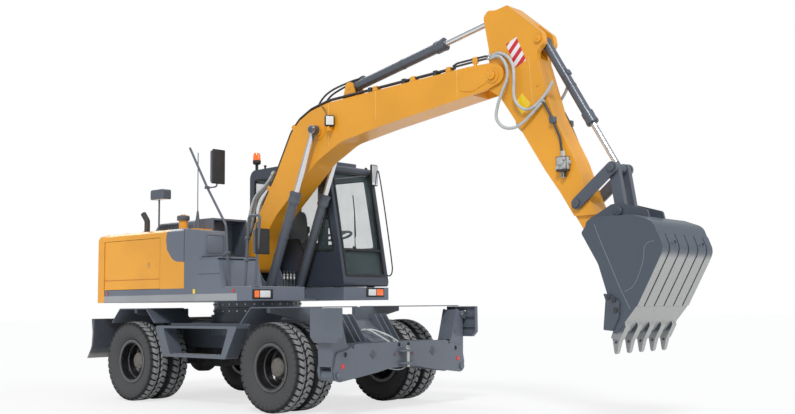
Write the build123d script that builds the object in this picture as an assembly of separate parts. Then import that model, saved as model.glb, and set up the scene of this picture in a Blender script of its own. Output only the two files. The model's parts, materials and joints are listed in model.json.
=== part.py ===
from build123d import *
import math
import os

os.makedirs("parts", exist_ok=True)

# Wheeled excavator. Millimetres, +X forward to the boom, +Y to the machine's left, +Z up.
# The machine frame has z = 0 on the ground, y = 0 on the centre line and x = 0 about midway
# between the axles. save() shifts every piece by MID_X, so that the written origin lies on the
# ground under the middle of the machine's overall length.

# ---------------------------------------------------------------- running gear
AXLE_X = {"front": 1400.0, "rear": -1380.0}
TYRE_RADIUS = 525.0
TYRE_WIDTH = 275.0
RIM_SEAT_RADIUS = 254.0
RIM_WIDTH = 186.0
TWIN_CENTRE_Y = 952.5
TWIN_SPACING = 320.0
HUB_RADIUS = 110.0
KINGPIN_Y = 660.0
KINGPIN_RADIUS = 32.0
SPINDLE_RADIUS = 45.0
RUNNING_GAP = 0.08
SEAT_GAP = 0.3
SIDE_GAP = 6.0
STEER_ARM = 200.0
FORK_HALF_HEIGHT = 142.0
FORK_SHEET = 26.0
HINGE_PIN_RADIUS = 7.0

# ---------------------------------------------------------------- chassis
SLEW_X = -220.0
SPINE_HALF_WIDTH = 300.0
SPINE_BOTTOM_Z = 680.0
SPINE_TOP_Z = 1060.0
POT_RADIUS = 620.0
RING_RADIUS = 585.0
RING_BOTTOM_Z = 1130.0
RING_SPLIT_Z = 1222.0
RING_GAP = 6.0
MACHINE_HALF_WIDTH = 1250.0
FENDER_TOP_Z = 1222.0
FENDER_SHEET = 12.0
FENDER_INNER_Y = 640.0

# ---------------------------------------------------------------- outriggers
BEAM_BACK_X = 2140.0
BEAM_FRONT_X = 2407.0
BEAM_SHEET = 20.0
LEG_PIN_Y = 1105.0
LEG_PIN_Z = 463.0
LEG_PIN_RADIUS = 32.0
LEG_SHEET = 18.0
LEG_LUG = (800.0, 725.0)
PAD_PIN = (1150.0, 1112.0)
PAD_PIN_RADIUS = 20.0
PAD_FACE_Y = 1200.0
PAD_X = (2110.0, 2570.0)
PAD_Z = (831.0, 1212.0)
OUTRIGGER_BASE = (-250.0, 640.0)
OUTRIGGER_BARREL_RADIUS = 36.0
OUTRIGGER_ROD_RADIUS = 22.0
OUTRIGGER_CYLINDER_X = {"left": 2312.0, "right": 2233.0}
LASHING_HOLE_RADIUS = 30.0
LASHING_HOLE = (995.0, 690.0)

# ---------------------------------------------------------------- blade
BLADE_LOWER_PIN = (-1600.0, 560.0)
BLADE_UPPER_PIN = (-1600.0, 800.0)
BLADE_LINK = (-600.0, 160.0)
BLADE_BASE = (-1600.0, 1000.0)
BLADE_EYE = (-2000.0, 666.7)
BLADE_HALF_WIDTH = 1220.0
BLADE_ARM_Y = 310.0
BLADE_LUG_Y = 85.0
BLADE_PLATE_Y = 59.0
BLADE_PIN_RADIUS = 22.0
BLADE_BARREL_RADIUS = 30.0
BLADE_ROD_RADIUS = 18.0
BLADE_GLAND = 455.0
BLADE_ROD_START = 64.0

# ---------------------------------------------------------------- upper body
DECK_BOTTOM_Z = 1306.0
DECK_TOP_Z = 1475.0
DECK_FRONT_X = 1086.0
TAIL_RADIUS = 2300.0
HOOD_TOP_Z = 2250.0
TAIL_SHOULDER = 165.6735
TAIL_SIDE_X = SLEW_X - math.sqrt(TAIL_RADIUS ** 2 - MACHINE_HALF_WIDTH ** 2) + TAIL_SHOULDER
DOOR_FRONT_X = -705.0
DOOR_SHEET = 45.0
DOOR_TOP_Z = 2140.0
DOOR_AXIS_INSET = 16.0
ENGINE_LID_X = (-1500.0, -500.0)
ENGINE_LID_Y = (-800.0, 330.0)
ENGINE_LID_TOP_Z = 2400.0
ENGINE_LID_SHEET = 25.0
TANK_BACK_X = -195.0
TANK_FRONT_X = 170.0
TANK_LEFT_Y = -800.0
LOWER_TANK_FRONT_X = 560.0
LOWER_TANK_TOP_Z = 1830.0
FOOT_SHEET = 15.0
LUG_SHEET = 18.0
BOOM_HALF_WIDTH = 170.0
BOOM_BARREL_RADIUS = 60.0
FOOT_PLATE_Y = BOOM_HALF_WIDTH + SIDE_GAP + 5
BOOM_CYLINDER_Y = FOOT_PLATE_Y + FOOT_SHEET + SIDE_GAP + BOOM_BARREL_RADIUS
LUG_PLATE_Y = BOOM_CYLINDER_Y + BOOM_BARREL_RADIUS + SIDE_GAP
SLOT_HALF_WIDTH = LUG_PLATE_Y + LUG_SHEET + 4

# ---------------------------------------------------------------- cab
CAB_RIGHT_Y = SLOT_HALF_WIDTH + 2
CAB_LEFT_Y = 1230.0
CAB_REAR_X = -800.0
CAB_BOTTOM_Z = 1490.0
CAB_ROOF_Z = 3200.0
CAB_WALL = 40.0
HATCH_X = (-90.0, 650.0)
HATCH_Y = (480.0, 1100.0)
HATCH_HEIGHT = 60.0
GLASS = 6.0

# ---------------------------------------------------------------- working gear
BOOM_FOOT = (-190.0, 1790.0)
BOOM_NOSE = (3900.0, 3750.0)
BOOM_BASE = (300.0, 1420.0)
BOOM_EYE = (1150.0, 3470.0)
# the boom's back from the foot to the nose, rows of x, z and corner radius
BOOM_BACK = [
    (-50.0, 2400.0, 500.0), (330.0, 2957.0, 500.0), (640.0, 3500.0, 300.0), (790.0, 3640.0, 150.0),
    (1000.0, 3740.0, 200.0), (1313.0, 3808.0, 500.0), (3560.0, 3905.0, 300.0), (3850.0, 3900.0, 120.0),
]
LINE_RADIUS = 13.0
LINE_LIFT = 40.0
BOOM_ROD_RADIUS = 37.0
BOOM_GLAND = 1375.0
BOOM_ROD_START = 680.0
ARM_BASE = (1618.0, 3981.0)
ARM_EYE = (3830.0, 4430.0)
ARM_HALF_WIDTH = 140.0
ARM_BARREL_RADIUS = 62.0
ARM_ROD_RADIUS = 37.0
ARM_GLAND = 1525.0
ARM_ROD_START = 700.0
BUCKET_BASE = (4487.0, 4066.0)
BUCKET_PIN = (5090.0, 1985.0)
LEVER_PIN = (4926.0, 2255.0)
LINK_PIN = (5340.0, 2590.0)
BUCKET_LINK_PIN = (5410.0, 2143.0)
BUCKET_BARREL_RADIUS = 52.0
BUCKET_ROD_RADIUS = 32.0
BUCKET_GLAND = 1120.0
BUCKET_ROD_START = 370.0
BUCKET_HALF_WIDTH = 540.0
BUCKET_BACK_X = 6057.0
PIN_RADIUS = 35.0
LINK_HALF_WIDTH = 135.0
TOOTH_COUNT = 5
TOOTH_PITCH = 240.0

TAIL_X = SLEW_X - TAIL_RADIUS
MID_X = (TAIL_X + BUCKET_BACK_X) / 2


# ---------------------------------------------------------------- shared shapes
def save(name, *shapes):
    """Write one node; its solids lie in the frame whose origin is under the middle."""
    solids = [solid for shape in shapes for solid in shape.solids()]
    group = solids[0] if len(solids) == 1 else Compound(children=solids)
    export_step(Pos(-MID_X, 0, 0) * group, f"parts/{name}.step")


def outline(corners):
    """Closed face from rows of (across, up, corner radius)."""
    points = [(a, b) for a, b, _ in corners]
    return make_face(FilletPolyline(*points, radius=[r for _, _, r in corners], close=True))


def prism_y(corners, y_low, y_high):
    """XZ outline carried along Y."""
    return Pos(0, y_high, 0) * extrude(Plane.XZ * outline(corners), y_high - y_low)


def prism_x(corners, x_low, x_high):
    """YZ outline carried along X."""
    return Pos(x_low, 0, 0) * extrude(Plane.YZ * outline(corners), x_high - x_low)


def prism_z(corners, z_low, z_high):
    """XY outline carried along Z."""
    return Pos(0, 0, z_low) * extrude(outline(corners), z_high - z_low)


def block(low, high):
    """Box between two corners."""
    size = [h - l for l, h in zip(low, high)]
    return Pos(*low) * Box(*size, align=(Align.MIN, Align.MIN, Align.MIN))


def bar(start, end, radius):
    """Round bar between two points."""
    way = Vector(*end) - Vector(*start)
    plane = Plane(origin=start, z_dir=way)
    return plane * Cylinder(radius, way.length, align=(Align.CENTER, Align.CENTER, Align.MIN))


def pin_y(at, radius, y_low, y_high):
    """Round pin along Y at an (x, z) place."""
    return bar((at[0], y_low, at[1]), (at[0], y_high, at[1]), radius)


def pin_x(at, radius, x_low, x_high):
    """Round pin along X at a (y, z) place."""
    return bar((x_low, at[0], at[1]), (x_high, at[0], at[1]), radius)


def both_sides(shape):
    """A shape and its mirror image across the centre line."""
    return [shape, mirror(shape, about=Plane.XZ)]


def tube(points, radius, bend):
    """Round tube along straight runs joined by bends."""
    path = FilletPolyline(*points, radius=bend)
    start = Plane(origin=path @ 0, z_dir=path % 0)
    return sweep(start * Circle(radius), path=path)


def offset_points(points, distance):
    """Polyline points moved to the left of their way by a distance, mitred at the corners."""
    ways = [(Vector(*b) - Vector(*a)).normalized() for a, b in zip(points, points[1:])]
    normals = [Vector(-w.Y, w.X) for w in ways]
    moved = []
    for point, before, after in zip(points, normals[:1] + normals, normals + normals[-1:]):
        shift = (before + after) * (distance / (1 + before.dot(after)))
        moved.append((point[0] + shift.X, point[1] + shift.Y))
    return moved


def hinge(fixed, moving, axis, middles, fixed_lug, moving_lug, radius=12.0, half=28.0):
    """Pin hinges; axis has its Z along the pin and its X towards the moving piece.

    Each lug is (length along X, low, high across the axis). The fixed piece carries the pin.
    """
    running = 5.0
    for middle in middles:
        place = axis * Pos(0, 0, middle)
        relief = place * Cylinder(radius + running, 4 * half + 2 * running)
        fixed -= relief
        moving -= relief
        for sign in (-1, 1):
            fixed += place * Pos(0, 0, sign * (1.5 * half + 1)) * hinge_leaf(radius, half - 2, -fixed_lug[0],
                                                                             *fixed_lug[1:])
        fixed += place * Cylinder(HINGE_PIN_RADIUS, 4 * half)
        leaf = hinge_leaf(radius, 2 * half - 4, moving_lug[0], *moving_lug[1:])
        moving += place * (leaf - Cylinder(HINGE_PIN_RADIUS + RUNNING_GAP, 2 * half))
    return fixed, moving


def hinge_leaf(radius, height, length, low, high):
    """One knuckle round the axis with a lug along X of a signed length."""
    middle, width = (low + high) / 2, high - low
    return Cylinder(radius, height) + Pos(length / 2, middle, 0) * Box(abs(length), width, height)


def cylinder_pair(base, eye, gland, rod_start, barrel_radius, rod_radius, y_mid, eye_width, bore_radius):
    """Barrel and rod of one hydraulic cylinder in an XZ plane; the rod's eye holds its own pin."""
    base_at, eye_at = Vector(base[0], y_mid, base[1]), Vector(eye[0], y_mid, eye[1])
    way = (eye_at - base_at).normalized()
    eye_radius = barrel_radius * 0.95
    gland_at = base_at + way * gland
    barrel = bar(base_at + way * (eye_radius * 0.9), gland_at - way * 100, barrel_radius)
    barrel += bar(gland_at - way * 130, gland_at, barrel_radius * 1.22)
    barrel += bar(base_at, base_at + way * (eye_radius * 1.2), eye_radius * 0.8)
    half = eye_width / 2
    barrel += pin_y(base, eye_radius, y_mid - half, y_mid + half)
    barrel -= pin_y(base, bore_radius, y_mid - half - 1, y_mid + half + 1)
    bore_start = base_at + way * (eye_radius * 1.2 + 20)
    barrel -= bar(bore_start, gland_at + way, rod_radius + SEAT_GAP)
    rod = bar(base_at + way * rod_start, eye_at - way * (eye_radius * 0.8), rod_radius)
    rod += pin_y(eye, eye_radius, y_mid - half, y_mid + half)
    return barrel, rod


# ---------------------------------------------------------------- running gear
def tyre_section(centre):
    """Half section of one tyre in (axial, radius), on its rim seat."""
    half = TYRE_WIDTH / 2
    seat = RIM_WIDTH / 2 - 10
    rows = [
        (-seat, RIM_SEAT_RADIUS + SEAT_GAP, 0),
        (seat, RIM_SEAT_RADIUS + SEAT_GAP, 0),
        (seat, RIM_SEAT_RADIUS + 34, 8),
        (half, TYRE_RADIUS - 175, 60),
        (half, TYRE_RADIUS - 60, 30),
        (half - 30, TYRE_RADIUS, 14),
        (-half + 30, TYRE_RADIUS, 14),
        (-half, TYRE_RADIUS - 60, 30),
        (-half, TYRE_RADIUS - 175, 60),
        (-seat, RIM_SEAT_RADIUS + 34, 8),
    ]
    return [(centre + s, r, f) for s, r, f in rows]


def revolved(rows):
    """(axial, radius) outline turned about the Y axis, axial along +Y."""
    face = outline([(r, s, f) for s, r, f in rows])
    return revolve(face, axis=Axis.Y, revolution_arc=360)


def rim_section():
    """Half section of the twin rims with their bolted discs and the hub."""
    near = TWIN_SPACING / 2 - RIM_WIDTH / 2
    far = TWIN_SPACING / 2 + RIM_WIDTH / 2
    well = RIM_SEAT_RADIUS - 10
    flange = RIM_SEAT_RADIUS + 32
    outer = [
        (8, HUB_RADIUS, 0), (8, well - 20, 8), (28, well, 8), (far, well, 0), (far, flange, 4),
        (far - 9, flange, 4), (far - 9, RIM_SEAT_RADIUS, 0), (near + 9, RIM_SEAT_RADIUS, 0),
        (near + 9, flange, 4), (near, flange, 4), (near, RIM_SEAT_RADIUS, 0),
    ]
    inner = [(-s, r, f) for s, r, f in reversed(outer)]
    hub_out = [(150, 0, 0), (150, HUB_RADIUS - 35, 12), (110, HUB_RADIUS, 6)]
    hub_in = [(-232, HUB_RADIUS, 6), (-232, 0, 0)]
    return hub_out + outer + inner + hub_in


def wheel(axle, side):
    """Twin wheel: two tyres in one node, and rims with hub in another."""
    sign = 1 if side == "left" else -1
    place = Pos(AXLE_X[axle], sign * TWIN_CENTRE_Y, 0) * Pos(0, 0, TYRE_RADIUS)
    turn = Rot(0, 0, 0) if sign > 0 else Rot(0, 0, 180)
    tyres = [revolved(tyre_section(c)) for c in (TWIN_SPACING / 2, -TWIN_SPACING / 2)]
    rims = revolved(rim_section())
    bore_depth = 75.0
    rims -= bar((0, -233, 0), (0, -232 + bore_depth, 0), SPINDLE_RADIUS)
    save(f"tyres_{axle}_{side}", *[place * turn * t for t in tyres])
    save(f"rims_{axle}_{side}", place * turn * rims)


def knuckle(side):
    """Steering knuckle: kingpin body, spindle into the hub and a steering arm to the rear."""
    sign = 1 if side == "left" else -1
    x, y, z = AXLE_X["front"], KINGPIN_Y, TYRE_RADIUS
    hub_face = TWIN_CENTRE_Y - 232
    height = FORK_HALF_HEIGHT - FORK_SHEET - SIDE_GAP
    body = bar((x, y, z - height), (x, y, z + height), 55)
    body += bar((x, y, z), (x, hub_face - SIDE_GAP, z), 80)
    body += bar((x, hub_face - SIDE_GAP - 1, z), (x, hub_face + 70, z), SPINDLE_RADIUS - RUNNING_GAP)
    arm = [(x, y - 50, 0), (x, y + 20, 0), (x - STEER_ARM - 30, y - 20, 20), (x - STEER_ARM - 30, y - 75, 20)]
    body += prism_z(arm, z - height, z - height + 26)
    body -= bar((x, y, z - height - 1), (x, y, z + height + 1), KINGPIN_RADIUS + RUNNING_GAP)
    save(f"knuckle_{side}", body if sign > 0 else mirror(body, about=Plane.XZ))


def track_rod():
    """Rod between the two steering arms; its ends lie just below the arms."""
    arm_bottom = TYRE_RADIUS - FORK_HALF_HEIGHT + FORK_SHEET + SIDE_GAP
    half_end = 25
    x, z = AXLE_X["front"] - STEER_ARM, arm_bottom - SIDE_GAP - half_end
    y = KINGPIN_Y - 45
    rod = bar((x, -y, z), (x, y, z), 18)
    for sign in (-1, 1):
        rod += bar((x, sign * y, z - half_end), (x, sign * y, z + half_end), 30)
    save("track_rod", rod)


def front_axle():
    """Steering axle housing with a centre bulge and a fork round each knuckle."""
    x, z = AXLE_X["front"], TYRE_RADIUS
    beam_end = KINGPIN_Y - 70
    web_low, web_high = KINGPIN_Y - 150, KINGPIN_Y - 112
    beam = block((x - 85, -beam_end, z - 75), (x + 85, beam_end, z + 75))
    beam = fillet(beam.edges().filter_by(Axis.Y), 30)
    bulge = Pos(x, 0, z) * Sphere(185)
    beam += bulge & block((x - 160, -190, z - 170), (x + 160, 190, z + 150))
    for sign in (-1, 1):
        for low in (FORK_HALF_HEIGHT - FORK_SHEET, -FORK_HALF_HEIGHT):
            cheek = block((x - 60, web_low, z + low), (x + 60, KINGPIN_Y, z + low + FORK_SHEET))
            cheek += bar((x, KINGPIN_Y, z + low), (x, KINGPIN_Y, z + low + FORK_SHEET), 60)
            beam += cheek if sign > 0 else mirror(cheek, about=Plane.XZ)
        web = block((x - 60, web_low, z - FORK_HALF_HEIGHT), (x + 60, web_high, z + FORK_HALF_HEIGHT))
        beam += web if sign > 0 else mirror(web, about=Plane.XZ)
        beam += bar((x, sign * KINGPIN_Y, z - FORK_HALF_HEIGHT), (x, sign * KINGPIN_Y, z + FORK_HALF_HEIGHT),
                    KINGPIN_RADIUS)
    beam += block((x - 60, -130, z + 60), (x + 60, 130, SPINE_BOTTOM_Z))
    save("front_axle_housing", beam)


def rear_axle():
    """Rigid rear axle with spindles, centre drive and the travel gearbox ahead of it."""
    x, z = AXLE_X["rear"], TYRE_RADIUS
    hub_face = TWIN_CENTRE_Y - 232
    beam = block((x - 80, -600, z - 75), (x + 80, 600, z + 75))
    beam = fillet(beam.edges().filter_by(Axis.Y), 30)
    beam += (Pos(x, 0, z) * Sphere(205)) & block((x - 190, -190, z - 190), (x + 190, 190, z + 155))
    for sign in (-1, 1):
        beam += bar((x, sign * 590, z), (x, sign * (hub_face - SIDE_GAP), z), 85)
        beam += bar((x, sign * 650, z), (x, sign * (hub_face + 70), z), SPINDLE_RADIUS - RUNNING_GAP)
        beam += block((x - 70, sign * 260 - 60, z + 50), (x + 70, sign * 260 + 60, SPINE_BOTTOM_Z))
    gearbox = block((x + 170, -170, 420), (x + 620, 170, SPINE_BOTTOM_Z))
    gearbox = fillet(gearbox.edges().filter_by(Axis.Y), 45)
    beam += gearbox
    beam += bar((x + 600, 0, z), (AXLE_X["front"] - 160, 0, z), 38)
    save("rear_axle_housing", beam)


# ---------------------------------------------------------------- chassis
def chassis():
    """Spine frame, turntable pot and lower race of the slewing ring, with blade lugs."""
    rear_x = BLADE_LOWER_PIN[0] + 130
    spine = block((rear_x, -SPINE_HALF_WIDTH, SPINE_BOTTOM_Z),
                  (BEAM_BACK_X - 460, SPINE_HALF_WIDTH, SPINE_TOP_Z))
    nose = [(BEAM_BACK_X - 470, SPINE_TOP_Z, 0), (BEAM_BACK_X - 470, SPINE_BOTTOM_Z, 0),
            (BEAM_BACK_X - 1, SPINE_BOTTOM_Z - 130, 0), (BEAM_BACK_X - 1, SPINE_BOTTOM_Z + 90, 0),
            (BEAM_BACK_X - 200, SPINE_TOP_Z - 200, 60)]
    spine += prism_y(nose, -180, 180)
    spine += Pos(SLEW_X, 0, SPINE_TOP_Z - 200) * Cylinder(POT_RADIUS, RING_BOTTOM_Z - SPINE_TOP_Z + 200,
                                                          align=(Align.CENTER, Align.CENTER, Align.MIN))
    spine += Pos(SLEW_X, 0, RING_BOTTOM_Z) * Cylinder(RING_RADIUS, RING_SPLIT_Z - RING_BOTTOM_Z,
                                                      align=(Align.CENTER, Align.CENTER, Align.MIN))
    spine += block((-800, -1000, 1000), (790, 1000, 1030))
    spine += block((rear_x - 30, -400, 690), (rear_x + 20, 400, SPINE_TOP_Z + 20))
    for sign in (-1, 1):
        spine += block((rear_x - 30, min(sign * 205, sign * 405), 480),
                       (rear_x - 12, max(sign * 205, sign * 405), 691))
        for y in (BLADE_ARM_Y - BLADE_LUG_Y, BLADE_ARM_Y + BLADE_LUG_Y):
            spine += block((rear_x - 200, sign * y - 10, 480), (rear_x - 20, sign * y + 10, SPINE_TOP_Z + 20))
        for at, outer in ((BLADE_LOWER_PIN, 0), (BLADE_UPPER_PIN, 30), (BLADE_BASE, 0)):
            inner_end = BLADE_ARM_Y + BLADE_LUG_Y if outer else BLADE_ARM_Y - BLADE_LUG_Y - 12
            ends = sorted((sign * inner_end, sign * (BLADE_ARM_Y + BLADE_LUG_Y + 12 + outer)))
            spine += pin_y(at, BLADE_PIN_RADIUS, *ends)
    save("chassis_frame", spine)


def fenders():
    """A sheet roof over each twin wheel with sloping ends."""
    shapes = []
    for axle, front_end, rear_end in (("rear", 560, -410), ("front", 860, -490)):
        x = AXLE_X[axle]
        front_slope = 0 if axle == "front" else 190
        low, high = x + rear_end, x + front_end
        rows = [(low, FENDER_TOP_Z - 185, 0), (low + 185, FENDER_TOP_Z, 25)]
        if front_slope:
            rows += [(high - front_slope, FENDER_TOP_Z, 25), (high, FENDER_TOP_Z - 185, 0)]
        else:
            rows += [(high, FENDER_TOP_Z, 0)]
        line = FilletPolyline(*[(a, b) for a, b, _ in rows], radius=[r for _, _, r in rows[1:-1]])
        face = Plane.XZ * make_face(offset(line, FENDER_SHEET / 2, side=Side.BOTH))
        sheet = Pos(0, MACHINE_HALF_WIDTH, 0) * extrude(face, MACHINE_HALF_WIDTH - FENDER_INNER_Y)
        bracket_x = x if axle == "rear" else x - 100
        bracket = [(SPINE_HALF_WIDTH, SPINE_TOP_Z - 60, 0), (SPINE_HALF_WIDTH + 40, SPINE_TOP_Z - 60, 0),
                   (MACHINE_HALF_WIDTH - 100, FENDER_TOP_Z - 60, 0), (MACHINE_HALF_WIDTH - 100,
                                                                      FENDER_TOP_Z - 5, 0),
                   (SPINE_HALF_WIDTH, FENDER_TOP_Z - 5, 0)]
        sheet += prism_x(bracket, bracket_x - 30, bracket_x + 30)
        shapes += both_sides(sheet)
    save("fenders", *shapes)


def side_steps():
    """Trapezoid step frame with a window between the wheels on each side."""
    outer = [(-870, 1000, 25), (-690, 605, 40), (570, 600, 40), (790, 1000, 25)]
    window = [(-690, 970, 20), (-545, 642, 30), (488, 645, 30), (622, 967, 20)]
    frame = prism_y(outer, 1000, 1200) - prism_y(window, 990, 1210)
    save("side_steps", *both_sides(frame))


def beam_outline():
    """Front view of the outrigger crossbeam in (y, z, radius)."""
    right = [(0, 808, 0), (800, 802, 40), (985, 735, 60), (1125, 715, 40), (1170, 520, 60),
             (1150, 410, 60), (1080, 391, 40), (807, 424, 200), (457, 468, 200), (250, 505, 200), (0, 509, 0)]
    left = [(-y, z, r) for y, z, r in reversed(right[1:-1])]
    return right[:-1] + [(0, 509, 0)] + left


def outrigger_beam():
    """Crossbeam of two plates, floor, ear plates to the chassis and the tow hitch."""
    rows = beam_outline()
    front = prism_x(rows, BEAM_FRONT_X - BEAM_SHEET, BEAM_FRONT_X)
    back = prism_x(rows, BEAM_BACK_X, BEAM_BACK_X + BEAM_SHEET)
    for sign in (-1, 1):
        hole = pin_x((sign * LASHING_HOLE[0], LASHING_HOLE[1]), LASHING_HOLE_RADIUS, BEAM_FRONT_X - 40,
                     BEAM_FRONT_X + 10)
        front -= hole
    beam = front + back
    floor = [(-640, 480, 0), (-640, 465, 0), (-250, 510, 0), (250, 510, 0), (640, 465, 0), (640, 480, 0),
             (250, 525, 0), (-250, 525, 0)]
    beam += prism_x(floor, BEAM_BACK_X + 5, BEAM_FRONT_X - 5)
    for sign in (-1, 1):
        beam += pin_x((sign * LEG_PIN_Y, LEG_PIN_Z), LEG_PIN_RADIUS, BEAM_BACK_X - 12, BEAM_FRONT_X + 12)
    for side, sign in (("left", 1), ("right", -1)):
        middle = sum(OUTRIGGER_CYLINDER_X.values()) / 2
        ends = (middle, BEAM_FRONT_X - 5) if side == "left" else (BEAM_BACK_X + 5, middle - 2)
        beam += pin_x((sign * OUTRIGGER_BASE[0], OUTRIGGER_BASE[1]), 18, *ends)
    face = BEAM_BACK_X - 460
    ear = [(face, SPINE_TOP_Z + 4, 0), (face, 700, 0), (1760, 640, 0), (BEAM_BACK_X + 5, 560, 0),
           (BEAM_BACK_X + 5, 800, 0),
           (1990, 812, 20), (1760, 1130, 40), (1660, 1135, 40), (1650, SPINE_TOP_Z + 4, 0)]
    for y in (200, 300, 400):
        for plate in both_sides(prism_y(ear, y - 9, y + 9)):
            beam += plate
    for sign in (-1, 1):
        beam += pin_y((1700, 1085), 25, min(sign * 185, sign * 415), max(sign * 185, sign * 415))
        beam += block((face, min(sign * 181, sign * 410), 690),
                      (face + 30, max(sign * 181, sign * 410), SPINE_TOP_Z - 30))
    hitch = []
    for z in (545, 690):
        jaw = [(BEAM_FRONT_X - 8, -110, 0), (BEAM_FRONT_X + 60, -100, 60), (BEAM_FRONT_X + 110, -40, 40),
               (BEAM_FRONT_X + 110, 40, 40), (BEAM_FRONT_X + 60, 100, 60), (BEAM_FRONT_X - 8, 110, 0)]
        hitch.append(prism_z(jaw, z, z + 22))
    beam += hitch[0] + hitch[1]
    beam += bar((BEAM_FRONT_X + 62, 0, 520), (BEAM_FRONT_X + 62, 0, 740), 20)
    save("outrigger_beam", beam)


def outrigger_pad():
    """Ribbed foot plate, upright while folded, with two ears round the pin in the leg's head."""
    low_x, high_x = PAD_X
    low_z, high_z = PAD_Z
    corner = 60.0
    rows = [(low_x, high_z, 8), (high_x, high_z, 8), (high_x, low_z + corner, 0), (high_x - corner, low_z, 0),
            (low_x + corner, low_z, 0), (low_x, low_z + corner, 0)]
    rim = 12.0
    middle_x, middle_z = (low_x + high_x) / 2, (low_z + high_z) / 2
    inside = [(x + math.copysign(rim, middle_x - x), z + math.copysign(rim, middle_z - z), 0) for x, z,
              _ in rows]
    pad = prism_y(rows, PAD_FACE_Y, MACHINE_HALF_WIDTH)
    pad -= prism_y(inside, PAD_FACE_Y - 1, MACHINE_HALF_WIDTH - 16)
    for share in (1 / 3, 2 / 3):
        z = low_z + share * (high_z - low_z)
        pad += block((low_x + 5, PAD_FACE_Y, z - 5), (high_x - 5, MACHINE_HALF_WIDTH - 15, z + 5))
    ear = [(PAD_FACE_Y + 30, PAD_PIN[1] - 70, 0), (PAD_FACE_Y + 30, PAD_PIN[1] + 60, 0),
           (PAD_PIN[0] - 10, PAD_PIN[1] + 34, 25),
           (PAD_PIN[0] - 36, PAD_PIN[1] - 4, 25), (PAD_PIN[0] - 10, PAD_PIN[1] - 38, 25)]
    for x in pad_ear_faces():
        plate = prism_x(ear, x, x + LEG_SHEET - 4)
        pad += plate - pin_x(PAD_PIN, PAD_PIN_RADIUS + RUNNING_GAP, x - 1, x + LEG_SHEET)
    return pad


def leg_faces():
    """The x of the leg's rear and front face, inside the crossbeam's two plates."""
    return BEAM_BACK_X + BEAM_SHEET + SIDE_GAP, BEAM_FRONT_X - BEAM_SHEET - SIDE_GAP


def pad_ear_faces():
    """The lower x of each pad ear, outside the leg's two plates."""
    low, high = leg_faces()
    thickness = LEG_SHEET - 4
    return low - SIDE_GAP - thickness, high + SIDE_GAP


def outrigger(side):
    """Folded leg with its pad, and the cylinder that lies in the crossbeam."""
    sign = 1 if side == "left" else -1
    low, high = leg_faces()
    plate = [(1052, 1183, 15), (1095, 1172, 20), (1178, 1125, 28), (1186, 850, 60), (1178, 620, 60),
             (1172, 440, 55),
             (1105, 398, 45), (1040, 420, 50), (760, 660, 45), (752, 760, 60), (938, 785, 60)]
    leg = prism_x(plate, low, low + LEG_SHEET) + prism_x(plate, high - LEG_SHEET, high)
    outer_web = [(1166, 1090, 0), (1186, 850, 0), (1178, 560, 0), (1160, 560, 0), (1168, 850, 0),
                 (1150, 1080, 0)]
    inner_web = [(940, 800, 0), (1050, 1170, 0), (1068, 1170, 0), (958, 800, 0)]
    leg += prism_x(outer_web, low, high) + prism_x(inner_web, low, high)
    leg += pin_x((LEG_PIN_Y, LEG_PIN_Z), 58, low, high)
    leg -= pin_x((LEG_PIN_Y, LEG_PIN_Z), LEG_PIN_RADIUS + RUNNING_GAP, low - 1, high + 1)
    rear_ear, front_ear = pad_ear_faces()
    leg += pin_x(PAD_PIN, PAD_PIN_RADIUS, rear_ear - 4, front_ear + LEG_SHEET)
    base = Vector(0, OUTRIGGER_BASE[0], OUTRIGGER_BASE[1])
    lug = Vector(0, LEG_LUG[0], LEG_LUG[1])
    x = Vector(OUTRIGGER_CYLINDER_X[side], 0, 0)
    way = (lug - base).normalized()
    length = (lug - base).length
    barrel = bar(base + x + way * 30, base + x + way * (length - 100), OUTRIGGER_BARREL_RADIUS)
    barrel += pin_x((base.Y, base.Z), 34, x.X - 30, x.X + 30)
    barrel -= pin_x((base.Y, base.Z), 18 + RUNNING_GAP, x.X - 31, x.X + 31)
    barrel -= bar(base + x + way * 80, base + x + way * (length - 99), OUTRIGGER_ROD_RADIUS + SEAT_GAP)
    rod = bar(base + x + way * 90, lug + x - way * 25, OUTRIGGER_ROD_RADIUS)
    rod += pin_x((lug.Y, lug.Z), 34, x.X - 30, x.X + 30)
    for name, shape in (("leg", leg), ("pad", outrigger_pad()), ("barrel", barrel), ("rod", rod)):
        save(f"outrigger_{name}_{side}", shape if sign > 0 else mirror(shape, about=Plane.XZ))


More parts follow.
